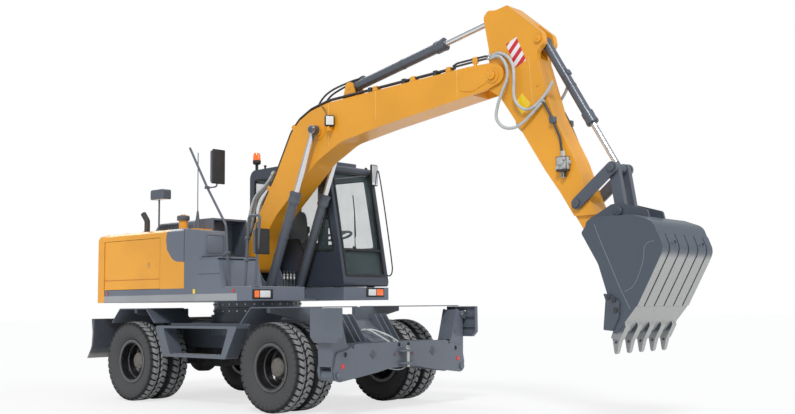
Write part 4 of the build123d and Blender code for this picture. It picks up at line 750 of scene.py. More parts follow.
@dataclass(frozen=True)
class Rubber(Finish):
    """Tyre rubber: tread tops far lighter than the grooves, partly as dust and partly as painted light on the
    tops and painted shade in the grooves, with dusty walls and moulded rings.
    """

    name: str
    hub: tuple[float, float, float]
    outer: float = WHEEL_RADIUS * MILLI

    def brew(self) -> bpy.types.Material:
        """Radius from the hub gives the tread's dust and painted light, which leaves the grooves near black
        as painted shade, and the moulded rings of the wall.
        """
        made = Recipe(self.name)
        hub_x, _, hub_z = in_frame(self.hub)
        x, z = made.along(Axis.X) - hub_x, made.along(Axis.Z) - hub_z
        radius = (x * x + z * z) ** 0.5
        dust, grain = made.noise(11.0, 5), made.noise(240.0, 2)
        # painted light and shade: tread tops are lifted towards light grey, partly as dust and partly as the
        # light they catch, while the grooves stay near black as painted shade
        tread = radius.between(self.outer - 0.012, self.outer - 0.002)
        wall = 1 - radius.between(self.outer - 0.06, self.outer - 0.03)
        dust_and_painted_light = (0.95 * tread + 0.17 * wall).least(1.0) * (0.75 + 0.25 * dust)
        tone = made.mix(dust_and_painted_light, (0.014, 0.014, 0.015), (0.340, 0.342, 0.348))
        rings = ((radius * 55.0).part() - 0.5).size().between(0.40, 0.48) * wall
        height = 0.25 * grain + 0.8 * rings
        return made.surface(Base_Color=tone, Roughness=0.74 + 0.18 * dust,
                            Normal=made.bump(height, 0.35, 0.002))


@dataclass(frozen=True)
class Glazing(Finish):
    """Green-tinted pane: clear face on, more reflective at a slant."""

    name: str
    tint: Colour = (0.17, 0.245, 0.255)
    body: float = 0.13

    def brew(self) -> bpy.types.Material:
        """Alpha grows with the slant and with a thin film of dust."""
        made = Recipe(self.name)
        slant = Value(made, made.node("ShaderNodeLayerWeight", None, {"Blend": 0.35}, output="Facing"))
        film = made.noise(5.0, 4).between(0.35, 0.8)
        return made.surface(Base_Color=self.tint, Roughness=0.04 + 0.05 * film, Coat_Weight=1.0,
                            Alpha=self.body + 0.40 * slant ** 3 + 0.03 * film)


@dataclass(frozen=True)
class Cloth(Finish):
    """Woven seat fabric."""

    name: str
    colour: Colour
    threads: float = 650.0

    def brew(self) -> bpy.types.Material:
        """Two crossed waves of thread, as many to the metre as threads says, give the weave."""
        made = Recipe(self.name)
        across = (made.along(Axis.X) * self.threads).part() - 0.5
        along = (made.along(Axis.Y) * self.threads).part() - 0.5
        weave = across.size() + along.size()
        wear = made.noise(6.0, 4)
        tone = made.mix(wear, self.colour, shade(self.colour, 1.7))
        return made.surface(Base_Color=tone, Roughness=0.92, Sheen_Weight=0.25,
                            Normal=made.bump(weave, 0.25, 0.0008))


@dataclass(frozen=True)
class Moulded(Finish):
    """Grained plastic or rubber trim."""

    name: str
    colour: Colour
    rough: float = 0.6

    def brew(self) -> bpy.types.Material:
        """Leather-like grain from cells, with light dust in the shade."""
        made = Recipe(self.name)
        grain, dust = made.cells(330.0), made.noise(9.0, 4)
        tone = made.mix(dust.between(0.4, 0.8) * 0.08, self.colour, (0.16, 0.15, 0.14))
        return made.surface(Base_Color=tone, Roughness=self.rough + 0.1 * dust,
                            Normal=made.bump(grain, 0.2, 0.001))


@dataclass(frozen=True)
class Lens(Finish):
    """Lamp lens or reflector with moulded prisms."""

    name: str
    colour: Colour
    prisms: float = 160.0
    glow: float = 0.0

    def brew(self) -> bpy.types.Material:
        """A square net of ridges in the bump, and shade changes between the prisms."""
        made = Recipe(self.name)
        across = ((made.along(Axis.Y) + made.along(Axis.X)) * self.prisms).part() - 0.5
        up = (made.along(Axis.Z) * self.prisms).part() - 0.5
        net = across.size().most(up.size())
        tone = made.mix(net * 1.6, self.colour, shade(self.colour, 0.72))
        return made.surface(Base_Color=tone, Roughness=0.12, Coat_Weight=1.0, Emission_Color=self.colour,
                            Emission_Strength=self.glow, Normal=made.bump(net, 0.3, 0.001))


@dataclass(frozen=True)
class Steel(Finish):
    """Plated or bare steel of fittings, bolts and mirrors."""

    name: str
    colour: Colour = (0.62, 0.62, 0.60)
    rough: float = 0.3

    def brew(self) -> bpy.types.Material:
        """Fine mottled plating."""
        made = Recipe(self.name)
        mottle = made.noise(120.0, 3)
        tone = made.mix(mottle, shade(self.colour, 0.8), self.colour)
        return made.surface(Base_Color=tone, Metallic=0.9, Roughness=self.rough + 0.15 * mottle)


@dataclass(frozen=True)
class HoseSkin(Finish):
    """Rubber or plastic skin of hoses, with a faint wrap pattern."""

    name: str
    colour: Colour
    rough: float = 0.5

    def brew(self) -> bpy.types.Material:
        """Fine noise stands for the wrapped cover, and broad noise for dust."""
        made = Recipe(self.name)
        wrap, dust = made.noise(170.0, 3), made.noise(12.0, 4)
        tone = made.mix(dust.between(0.4, 0.75) * 0.4, self.colour, shade(self.colour, 0.6))
        return made.surface(Base_Color=tone, Roughness=self.rough + 0.15 * wrap,
                            Normal=made.bump(wrap, 0.25, 0.001))


@dataclass(frozen=True)
class WarningStripes(Finish):
    """Red and white slanted bands of a reflective plate."""

    name: str
    pitch: float = 0.098
    offset: float = 0.30

    def brew(self) -> bpy.types.Material:
        """Bands from the fraction of a slanted coordinate, over a fine prism net."""
        made = Recipe(self.name)
        slanted = (made.along(Axis.X) * 0.72 - made.along(Axis.Z) * 0.69) / self.pitch + self.offset
        band = (slanted.part() - 0.5).size().between(0.24, 0.26)
        net = made.cells(420.0)
        tone = made.mix(band, (0.62, 0.010, 0.018), (0.80, 0.80, 0.82))
        return made.surface(Base_Color=tone, Roughness=0.25 + 0.1 * net, Coat_Weight=0.6,
                            Normal=made.bump(net, 0.15, 0.0006))


YELLOW = Enamel("machine_yellow", (0.79, 0.345, 0.022), 0.28, 0.03)
GREY = Enamel("slate_grey", (0.122, 0.144, 0.184), 0.30, 0.05)
CHASSIS_GREY = Enamel("undercarriage_grey", (0.100, 0.118, 0.148), 0.38, 0.10)
CAB_GREY = Enamel("cab_grey", (0.038, 0.048, 0.068), 0.26, 0.03)
BUCKET_GREY = BucketSteel("bucket_steel_paint", (0.062, 0.078, 0.102), (0.46, 0.46, 0.45))
BLADE_GREY = Enamel("blade_grey", (0.070, 0.083, 0.105), 0.42, 0.12, bare_below=0.60)
BARREL_GREY = Enamel("cylinder_grey", (0.080, 0.093, 0.118), 0.30, 0.04)
# painted reflection: the skirt band's pale grey stands in for the pale floor reflected in the deck's lower
# wall
SKIRT_PAINTED_REFLECTION = Enamel("skirt_pale", (0.30, 0.31, 0.325), 0.25, 0.05)
AXLE = Casting("axle_casting", (0.030, 0.031, 0.034))
HUB = Casting("hub_casting", (0.150, 0.140, 0.125))
RIM = Enamel("rim_black", (0.014, 0.014, 0.016), 0.22, 0.04)
GLASS = Glazing("cab_glazing")
SEAT_CLOTH = Cloth("seat_cloth", (0.030, 0.032, 0.036))
CAB_PLASTIC = Moulded("cab_moulding", (0.045, 0.046, 0.050))
BLACK_RUBBER = Moulded("seal_rubber", (0.012, 0.012, 0.013), 0.55)
# near black: painted shade in holes, louvres and slots, and the dark of real seams
SHADE_AND_SEAM_DARK = Moulded("dark_opening", (0.006, 0.006, 0.007), 0.8)
DARK_PIPE = HoseSkin("dark_pipe", (0.040, 0.042, 0.048), 0.36)
PALE_HOSE = HoseSkin("pale_hose_guard", (0.50, 0.52, 0.52), 0.42)
FITTING = Steel("plated_fitting")
MIRROR = Steel("mirror_glass", (0.85, 0.87, 0.88), 0.02)
BLACK_STEEL = Steel("black_bolt", (0.10, 0.10, 0.11), 0.35)
AMBER = Lens("amber_lens", (0.95, 0.16, 0.010), glow=0.25)
CLEAR = Lens("clear_lens", (0.78, 0.80, 0.80), glow=0.08)
RED = Lens("red_reflector", (0.62, 0.012, 0.016))
# painted glow: the yellow reflectors and sign plates emit a little light, though they are no lamp
SIGN_YELLOW_PAINTED_GLOW = Lens("yellow_reflector", (0.93, 0.63, 0.010), 90.0, glow=0.08)
STRIPES = WarningStripes("warning_stripes")
LOCK_RING = Enamel("lock_ring_grey", (0.07, 0.072, 0.075), 0.3, 0.3)
# painted shade: darker yellow for the shade inside the latch pockets
PAINTED_SHADE_YELLOW = Enamel("shaded_yellow", (0.55, 0.25, 0.03), 0.4, 0.1)
BOOM_WELD = Enamel("weld_yellow", (0.86, 0.47, 0.10), 0.3, 0.05)
ARM_WELD = Enamel("weld_yellow_arm", (0.86, 0.47, 0.10), 0.3, 0.05)
BUCKET_WELD = Enamel("weld_grey", (0.17, 0.19, 0.23), 0.4, 0.1)
VALVE_PALE = Enamel("valve_pale", (0.42, 0.43, 0.42), 0.4, 0.1)


# ---------------------------------------------------------------- workshop
@dataclass
class Workshop:
    """Turns surfaces into Blender pieces on the frame's bodies."""

    frame: dict
    count: int = 0

    def make(self, name: str, shape: Surface, finish: Finish, body: str | None, *, smooth: float = 35.0,
             bevel: float = 0.0, slot: str | None = None,
             replaces: Sequence[str] = ()) -> bpy.types.Object:
        """Build one piece.

        Args:
            name: piece name.
            shape: surface in machine millimetres.
            finish: its material.
            body: CAD body it rides on, or None to leave it on no body.
            smooth: edges sharper than this many degrees stay hard.
            bevel: width in millimetres of a bevel modifier, or 0.
            slot: record slot of its material; not used.
            replaces: CAD nodes it stands for.

        Returns:
            The new object, with merged points and outward faces.
        """
        mesh = bpy.data.meshes.new(name)
        faces = [face for group in shape.faces for face in group.tolist()]
        mesh.from_pydata(place(shape.points).tolist(), [], faces)
        work = bmesh.new()
        work.from_mesh(mesh)
        bmesh.ops.remove_doubles(work, verts=work.verts, dist=0.00002)
        bmesh.ops.dissolve_degenerate(work, edges=work.edges, dist=0.00001)
        bmesh.ops.recalc_face_normals(work, faces=work.faces)
        work.to_mesh(mesh)
        work.free()
        mesh.shade_smooth()
        mesh.set_sharp_from_angle(angle=math.radians(smooth))
        mesh.materials.append(finish.material())
        piece = bpy.data.objects.new(name, mesh)
        bpy.context.scene.collection.objects.link(piece)
        if bevel:
            cut = piece.modifiers.new("edge", "BEVEL")
            cut.width, cut.segments, cut.limit_method = bevel * MILLI, 2, "ANGLE"
            cut.angle_limit = math.radians(40)
        if replaces:
            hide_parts(*replaces)
        if body is not None:
            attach(piece, body)
        self.count += 1
        LOG.info("%s: %d faces on %s", name, len(mesh.polygons), body)
        return piece

    def dress(self, node: str, finish: Finish) -> None:
        """Give a CAD node one finish."""
        mesh = self.frame["nodes"][node].data
        mesh.materials.clear()
        mesh.materials.append(finish.material())


@dataclass
class NodeFinishes:
    """Finish of every CAD node, by its record slot and by name where that differs."""

    shop: Workshop
    eye_reach: float = 0.085
    pair_reach: float = 0.30

    def by_slot(self) -> dict[str, Finish]:
        """Record slot to finish."""
        return {"yellow_paint": YELLOW, "grey_paint": GREY, "cab_paint": CAB_GREY, "axle_iron": AXLE,
                "bucket_steel": BUCKET_GREY, "rim_steel": RIM, "window_glass": GLASS,
                "seat_fabric": SEAT_CLOTH, "cab_plastic": CAB_PLASTIC, "tyre_rubber": BLACK_RUBBER,
                "rod_chrome": BARREL_GREY}

    def by_node(self) -> dict[str, Finish]:
        """Nodes whose finish isn't just their slot's."""
        paint = BARREL_GREY.colour
        chosen: dict[str, Finish] = {
            "boom_rods": RodChrome("boom_rod_chrome", BOOM_ROD_EYE, self.pair_reach, paint),
            "arm_rod": RodChrome("arm_rod_chrome", ARM_ROD_EYE, self.eye_reach, paint),
            "bucket_rod": RodChrome("bucket_rod_chrome", BUCKET_ROD_EYE, self.eye_reach, paint),
            "blade": BLADE_GREY, "boom_lines": DARK_PIPE, "arm_lines": DARK_PIPE,
            "exhaust": Casting("exhaust_pipe", (0.040, 0.038, 0.037)), "handrails": BARREL_GREY,
        }
        for node in ("boom_barrels", "arm_barrel", "bucket_barrel", "blade_barrels", "lever_links",
                     "bucket_link"):
            chosen[node] = BARREL_GREY
        for node in ("chassis_frame", "fenders", "side_steps", "outrigger_beam", "blade_lower_arms",
                     "blade_upper_links"):
            chosen[node] = CHASSIS_GREY
        for side in Side:
            for kind in ("leg", "pad", "barrel"):
                chosen[f"outrigger_{kind}_{side.word}"] = CHASSIS_GREY
            chosen[f"outrigger_rod_{side.word}"] = Steel("outrigger_rod", (0.75, 0.75, 0.75), 0.14)
        chosen["blade_rods"] = Steel("blade_rod", (0.75, 0.75, 0.75), 0.14)
        return chosen

    def apply(self) -> None:
        """Dress every node of the frame."""
        slots = {row["node"]: row["material_slot"] for row in self.shop.frame["record"]["subparts"]}
        named, general = self.by_node(), self.by_slot()
        for node in self.shop.frame["nodes"]:
            self.shop.dress(node, named.get(node) or general[slots[node]])


# ---------------------------------------------------------------- wheels
@dataclass
class TwinTyres:
    """Two treaded tyres of one wheel, in place of the plain CAD pair."""

    shop: Workshop
    axle: str
    axle_x: float
    side: Side
    spacing: float = 320.0
    lugs: int = 38
    groove_depth: float = 17.0
    groove_share: float = 0.2
    zigzag: float = 0.34
    shoulder: float = 133.0
    tread_reach: float = 105.0
    sway: float = 11.0
    sway_reach: float = 100.0
    sway_turn: float = 0.58

    def section(self) -> np.ndarray:
        """Rows of (axial, radius, groove depth share, zigzag phase) round the closed section."""
        wall = [(-83, 256, 0, 0), (-84, 290, 0, 0), (-104, 312, 0, 0), (-126, 350, 0, 0),
                (-137, 400, 0, 0), (-137.5, 440, 0, 0), (-137.5, 452, 0.55, 0), (-136, 478, 0.9, 0),
                (-131, 501, 1, 0), (-120, 515, 1, 0.05), (-106, 520, 1, 0.12), (-80, 523.5, 1, 0.6),
                (-52, 525, 1, 1)]
        column = [(-50, 525, 1, 1), (-47, 525, 1.0, 1), (-45, 525, 1.0, 1), (-42, 525, 1, 1),
                  (-22, 525, 1, 0.1), (-7, 525, 1, -0.6)]
        half = wall + column
        other = [(-a, r, g, -p) for a, r, g, p in reversed(half)]
        return np.array(half + other, float)

    def tyre(self, middle_y: float) -> Surface:
        """One tyre.

        Args:
            middle_y: its middle plane.

        Returns:
            Grid of angle and section: lateral grooves follow a zigzag phase across the tread, three
            zigzag grooves run round it, and each lowers the radius by its depth share.
        """
        steps = np.array((0.0, 0.17, 0.24, 0.5, 0.74, 0.93))
        lug = np.arange(self.lugs)[:, None]
        turn = (lug + steps[None, :]).ravel()
        in_lug = np.tile(steps, self.lugs)
        groove = np.where(in_lug < self.groove_share, 1.0, 0.0)[:, None]
        axial, radius, share, phase = self.section().T
        off_middle = np.abs(axial)
        angle = (turn[:, None] + self.zigzag * phase[None, :]) * FULL_TURN / self.lugs
        wave = np.abs(in_lug - self.sway_turn)[:, None] * 2 - 0.5
        tread = np.exp(-(axial / self.tread_reach) ** 8)[None, :]
        lengthwise = np.zeros_like(axial)
        lengthwise[np.isin(np.round(off_middle), (47, 45))] = 1.0
        lengthwise[np.round(off_middle) == 7] = 0.8
        depth = self.groove_depth * np.maximum(groove * share[None, :], lengthwise[None, :] * tread)
        level = radius[None, :] - depth * (off_middle < self.shoulder)[None, :]
        inward = depth * (off_middle >= self.shoulder)[None, :] * 0.8
        across = axial[None, :] - np.sign(axial)[None, :] * inward
        across = across + self.sway * wave * tread * (off_middle < self.sway_reach)[None, :]
        points = np.stack((self.axle_x + level * np.sin(angle), middle_y + across,
                           WHEEL_RADIUS + level * np.cos(angle)), axis=-1)
        return grid(points, wrap_rows=True)

    def build(self) -> None:
        """Make the pair and hand it to its wheel."""
        wheel = f"{self.axle}_{self.side.word}"
        pair = together(self.tyre(self.side.value * (WHEEL_Y + offset * self.spacing / 2))
                        for offset in (-1, 1))
        finish = Rubber(f"tyre_rubber_{self.axle}", (self.axle_x, 0.0, WHEEL_RADIUS))
        self.shop.make(f"treads_{wheel}", pair, finish, f"wheel_{wheel}", smooth=32, slot="tyre_rubber",
                       replaces=[f"tyres_{wheel}"])


@dataclass
class WheelTrim:
    """Hub cap, wheel nuts and lock ring of one twin wheel."""

    shop: Workshop
    axle: str
    axle_x: float
    side: Side
    hub_face: float = WHEEL_Y + 150.0
    disc_face: float = WHEEL_Y + 8.0
    cap_circle: float = 82.0
    nut_circle: float = 158.0

    def build(self) -> None:
        """Cap with a rim of bolts, nuts on the disc, and a ring round the outer flange."""
        wheel = f"{self.axle}_{self.side.word}"
        body, face = f"wheel_{wheel}", self.hub_face
        centre = (self.axle_x, 0.0, WHEEL_RADIUS)
        cap = turned([(face - 42, 0.1), (face - 42, 113), (face - 30, 114), (face - 6, 108), (face + 2, 98),
                      (face + 3, 62), (face + 9, 56), (face + 12, 30), (face + 12, 0.1)], centre, Axis.Y, 40)
        bolts = ring_of(lambda at: bolt(at, Axis.Y, 9), (self.axle_x, face + 2, WHEEL_RADIUS), Axis.Y,
                        self.cap_circle, 6, 15)
        nuts = ring_of(lambda at: bolt(at, Axis.Y, 16), (self.axle_x, self.disc_face, WHEEL_RADIUS), Axis.Y,
                       self.nut_circle, 10)
        flange = face + 103
        lock = hoop([(flange - 30, 252), (flange - 4, 256), (flange, 262), (flange + 3, 276),
                     (flange + 2, 284), (flange - 5, 286), (flange - 8, 268)], centre, Axis.Y, 56)
        inner = hoop([(flange - 120, 226), (flange - 112, 222), (flange - 104, 226), (flange - 104, 236),
                      (flange - 120, 236)], centre, Axis.Y, 56)
        self.shop.make(f"hub_cap_{wheel}", (cap + bolts).on(self.side), HUB, body, slot="axle_iron")
        self.shop.make(f"wheel_nuts_{wheel}", nuts.on(self.side), FITTING, body)
        self.shop.make(f"lock_ring_{wheel}", (lock + inner).on(self.side), LOCK_RING, body, slot="rim_steel")


# ---------------------------------------------------------------- undercarriage
@dataclass
class Undercarriage:
    """Bolts, reflectors, tow pin, hoses and step treads of the chassis."""

    shop: Workshop
    ring_x: float = -220.0
    ring_radius: float = 585.0
    ring_bolts: int = 32
    beam_face: float = 2407.0
    tow_ring: tuple[float, float, float] = (733.0, 24.0, 5.5)

    def slew_bolts(self) -> None:
        """Seal in the ring's running gap and bolt heads round it, the upper row on the upper frame."""
        seal = turned([(1222.8, self.ring_radius - 9), (1227.9, self.ring_radius - 9)], (self.ring_x, 0, 0),
                      Axis.Z, 72)
        self.shop.make("slew_seal", seal, BLACK_RUBBER, "upper")
        head = turned([(0, 15), (9, 15), (12, 12)], (0, 0, 0), Axis.X, 6)
        angles = np.arange(self.ring_bolts) * FULL_TURN / self.ring_bolts
        for name, body, z in (("slew_bolts_lower", "chassis", 1180.0), ("slew_bolts_upper", "upper", 1268.0)):
            heads = together(
                head.turned(Axis.Z, math.degrees(a))
                .moved((self.ring_x + self.ring_radius * math.cos(a), self.ring_radius * math.sin(a), z))
                for a in angles)
            self.shop.make(name, heads, FITTING, body)

    def beam_face_trim(self) -> None:
        """Red reflectors, lozenge plates, small studs and dark holes on the crossbeam's front, the holes
        being near-black discs of painted shade.
        """
        x = self.beam_face
        reflectors = turned([(x - 4, 31), (x + 3, 31), (x + 8, 26), (x + 9, 0.1)], (0, 1035, 562), Axis.X, 28)
        self.shop.make("beam_reflectors", reflectors.both(), RED, "chassis")
        lozenge = extruded([(537, 620), (590, 675), (537, 730), (484, 675)], Axis.X, x - 3, x + 9)
        cross = extruded([(533, 640), (541, 640), (541, 710), (533, 710)], Axis.X, x + 8, x + 14)
        cross = cross + extruded([(502, 671), (572, 671), (572, 679), (502, 679)], Axis.X, x + 8, x + 14)
        self.shop.make("beam_lozenges", (lozenge + cross).both(), BARREL_GREY, "chassis", bevel=2)
        # painted shade: near-black discs for the shade inside the holes
        holes = turned([(x + 0.5, 13), (x + 1.5, 13)], (0, 865, 765), Axis.X, 20)
        holes = holes + turned([(x + 0.5, 24), (x + 2, 24)], (0, 84, 772), Axis.X, 20)
        self.shop.make("beam_holes", holes.both(), SHADE_AND_SEAM_DARK, "chassis")
        rings = hoop([(x - 2, 24), (x + 6, 24), (x + 9, 19), (x + 9, 12), (x - 2, 12)], (0, 162, 668), Axis.X,
                     24)
        self.shop.make("beam_stud_rings", rings.both(), BARREL_GREY, "chassis")
        studs = turned([(x + 2, 9), (x + 8, 8), (x + 10, 0.1)], (0, 162, 668), Axis.X, 16)
        self.shop.make("beam_studs", studs.both(), RED, "chassis")

    def tow_pin(self) -> None:
        """Ring handle and collar on the tow pin, and the pin's bright shank."""
        x = self.beam_face + 62
        ring_z, radius, wire = self.tow_ring
        turn = np.linspace(0, FULL_TURN, 33)[:-1]
        loop = np.stack([x + 0 * turn, radius * np.sin(turn), ring_z + radius * np.cos(turn)], axis=-1)
        ahead = np.roll(loop, -1, axis=0) - np.roll(loop, 1, axis=0)
        side = unit(np.cross(unit(ahead), (1.0, 0.0, 0.0)))
        angle = np.arange(10) * FULL_TURN / 10
        ring = loop[:, None] + wire * (np.cos(angle)[None, :, None] * side[:, None]
                                       + np.sin(angle)[None, :, None] * np.array((1.0, 0, 0)))
        shank = turned([(508, 17), (512, 22), (536, 22), (541, 21)], (x, 0, 0), Axis.Z, 24)
        shank = shank + turned([(568, 21.5), (689, 21.5)], (x, 0, 0), Axis.Z, 24)
        shank = shank + turned([(713, 28), (716, 31), (722, 31), (726, 21), (741, 19), (743, 8)], (x, 0, 0),
                               Axis.Z, 28)
        self.shop.make("tow_pin", grid(ring, wrap_rows=True) + shank, FITTING, "chassis")

    def hoses(self) -> None:
        """Pale hoses from the frame to the crossbeam's cylinders, and a slack one that hangs below them."""
        runs = [
            [(1740, 110, 930), (1840, 60, 935), (1960, 20, 920), (2080, 60, 880), (2190, 150, 790),
             (2215, 190, 720)],
            [(1740, -40, 925), (1860, -110, 945), (1990, -120, 925), (2110, -60, 850), (2195, 20, 770),
             (2222, 60, 700)],
            [(1740, -130, 900), (1850, -150, 930), (1990, -60, 935), (2120, 110, 830), (2210, 90, 740),
             (2240, 110, 690)],
        ]
        body = together(hose(run, 12, 0.0, (0.2, 1, 0.3)) for run in runs)
        self.shop.make("frame_hoses", body, PALE_HOSE, "chassis")
        slack = [(2125, -420, 640), (2170, -250, 560), (2230, -60, 486), (2240, 150, 470), (2200, 330, 540),
                 (2150, 470, 620)]
        self.shop.make("axle_hose", hose(slack, 8, 0.0, (1, 0.2, 0)), PALE_HOSE, "chassis")

    def step_treads(self) -> None:
        """Round anti-slip studs on the lower bar of each step frame."""
        xs = np.linspace(-610, 520, 24)
        studs = together(turned([(640, 9), (646, 7), (647, 0.1)], (x, y, 0), Axis.Z, 10)
                         for x in xs for y in (1060.0, 1100.0, 1140.0))
        self.shop.make("step_treads", studs.both(), FITTING, "chassis")

    def axle_details(self) -> None:
        """Cover bolts on both axles' centre housings, and the drive shaft's joints."""
        parts = []
        for x, radius in ((AXLES["front"], 165.0), (AXLES["rear"], 178.0)):
            sign = 1 if x > 0 else -1
            parts.append(ring_of(lambda at, s=sign: bolt(at, Axis.X, 9, s), (x + sign * 150, 0, WHEEL_RADIUS),
                                 Axis.X, radius * 0.62, 10))
        shaft = turned([(0, 60), (26, 60), (30, 46), (70, 46)], (-760, 0, WHEEL_RADIUS), Axis.X, 24)
        shaft = shaft + turned([(0, 46), (40, 46), (44, 60), (70, 60)], (1120, 0, WHEEL_RADIUS), Axis.X, 24)
        self.shop.make("axle_bolts", together(parts) + shaft, AXLE, "chassis")

    def build(self) -> None:
        """Make all of it."""
        self.slew_bolts()
        self.beam_face_trim()
        self.tow_pin()
        self.hoses()
        self.step_treads()
        self.axle_details()


@dataclass
class PinCaps:
    """Round caps with a lock bolt on the ends of the big pins."""

    shop: Workshop

    def cap(self, x: float, z: float, y: float, radius: float) -> Surface:
        """One cap whose seat is at y, standing outwards, with its lock bolt."""
        sign = 1.0 if y > 0 else -1.0
        plate = turned([(0, radius), (sign * 9, radius), (sign * 14, radius * 0.88), (sign * 15, 0.1)],
                       (x, y, z), Axis.Y, 32)
        return plate + bolt((x, y + sign * 13, z), Axis.Y, radius * 0.24, sign)

    def build(self) -> None:
        """Caps by body, each row being x, z, distance from the middle and radius."""
        rows: dict[str, tuple[Finish, list[tuple[float, float, float, float]]]] = {
            "boom": (YELLOW, [(3900, 3750, 192, 44)]),
            "arm": (YELLOW, [(4487, 4066, 150, 42)]),
            "boom_rods": (BARREL_GREY, [(1150, 3470, 308, 46)]),
            "bucket": (BUCKET_GREY, [(5090, 1985, 190, 44), (5410, 2143, 190, 44)]),
            "lever_links": (BARREL_GREY, [(5340, 2590, 188, 40), (4926, 2255, 185, 40)]),
            "upper": (GREY, [(-190, 1790, 211, 46), (300, 1420, 346, 40)]),
        }
        for body, (finish, caps) in rows.items():
            shape = together(self.cap(x, z, y, r) for x, z, y, r in caps)
            self.shop.make(f"pin_caps_{body}", shape.both(), finish, body)
        ends = turned([(2419, 40), (2425, 40), (2429, 34), (2430, 0.1)], (0, 1105, 463), Axis.X, 32)
        ends = ends + turned([(2427, 34), (2432, 30), (2433, 0.1)], (0, 1105, 463), Axis.X, 32)
        self.shop.make("leg_pin_caps", ends.both(), CHASSIS_GREY, "chassis")


@dataclass
class OutriggerTrim:
    """Pad links and leg bolts of both folded outriggers."""

    shop: Workshop

    def build(self) -> None:
        """Bright locking link on each pad and bolts on each leg."""
        for side in Side:
            link = extruded(rounded_outline([(1140, 1098), (1212, 1150), (1204, 1166), (1132, 1114)], 5),
                            Axis.X, 2404, 2410)
            link = link + bolt((2409, 1145, 1112), Axis.X, 9) + bolt((2409, 1201, 1152), Axis.X, 9)
            self.shop.make(f"pad_link_{side.word}", link.on(side), FITTING, f"outrigger_pad_{side.word}")
            bolts = together(bolt((2381, y, z), Axis.X, 8)
                             for y, z in ((1010, 900), (1060, 640), (1120, 640)))
            self.shop.make(f"leg_bolts_{side.word}", bolts.on(side), BLACK_STEEL,
                           f"outrigger_leg_{side.word}")


# ---------------------------------------------------------------- upper body
@dataclass
class LampUnit:
    """Pairs of an amber and a clear lens in dark frames."""

    shop: Workshop

    def build(self) -> None:
        """One unit on each side of the deck's front wall, the amber lens outermost."""
        rows = {"right": (-1214, -892, (-1186, -1112), (-1098, -936), 1326, 1442),
                "left": (768, 1118, (966, 1098), (806, 952), 1349, 1467)}
        for name, (low, high, amber, clear, bottom, top) in rows.items():
            frame = rounded_box((1082, low, bottom), (1094, high, top), 12)
            self.shop.make(f"{name}_lamp_frame", frame, BLACK_RUBBER, "upper")
            for kind, (start, end), finish in (("amber", amber, AMBER), ("clear", clear, CLEAR)):
                lens = rounded_box((1088, start, bottom + 16), (1100, end, top - 16), 9)
                self.shop.make(f"{name}_lamp_{kind}", lens, finish, "upper")


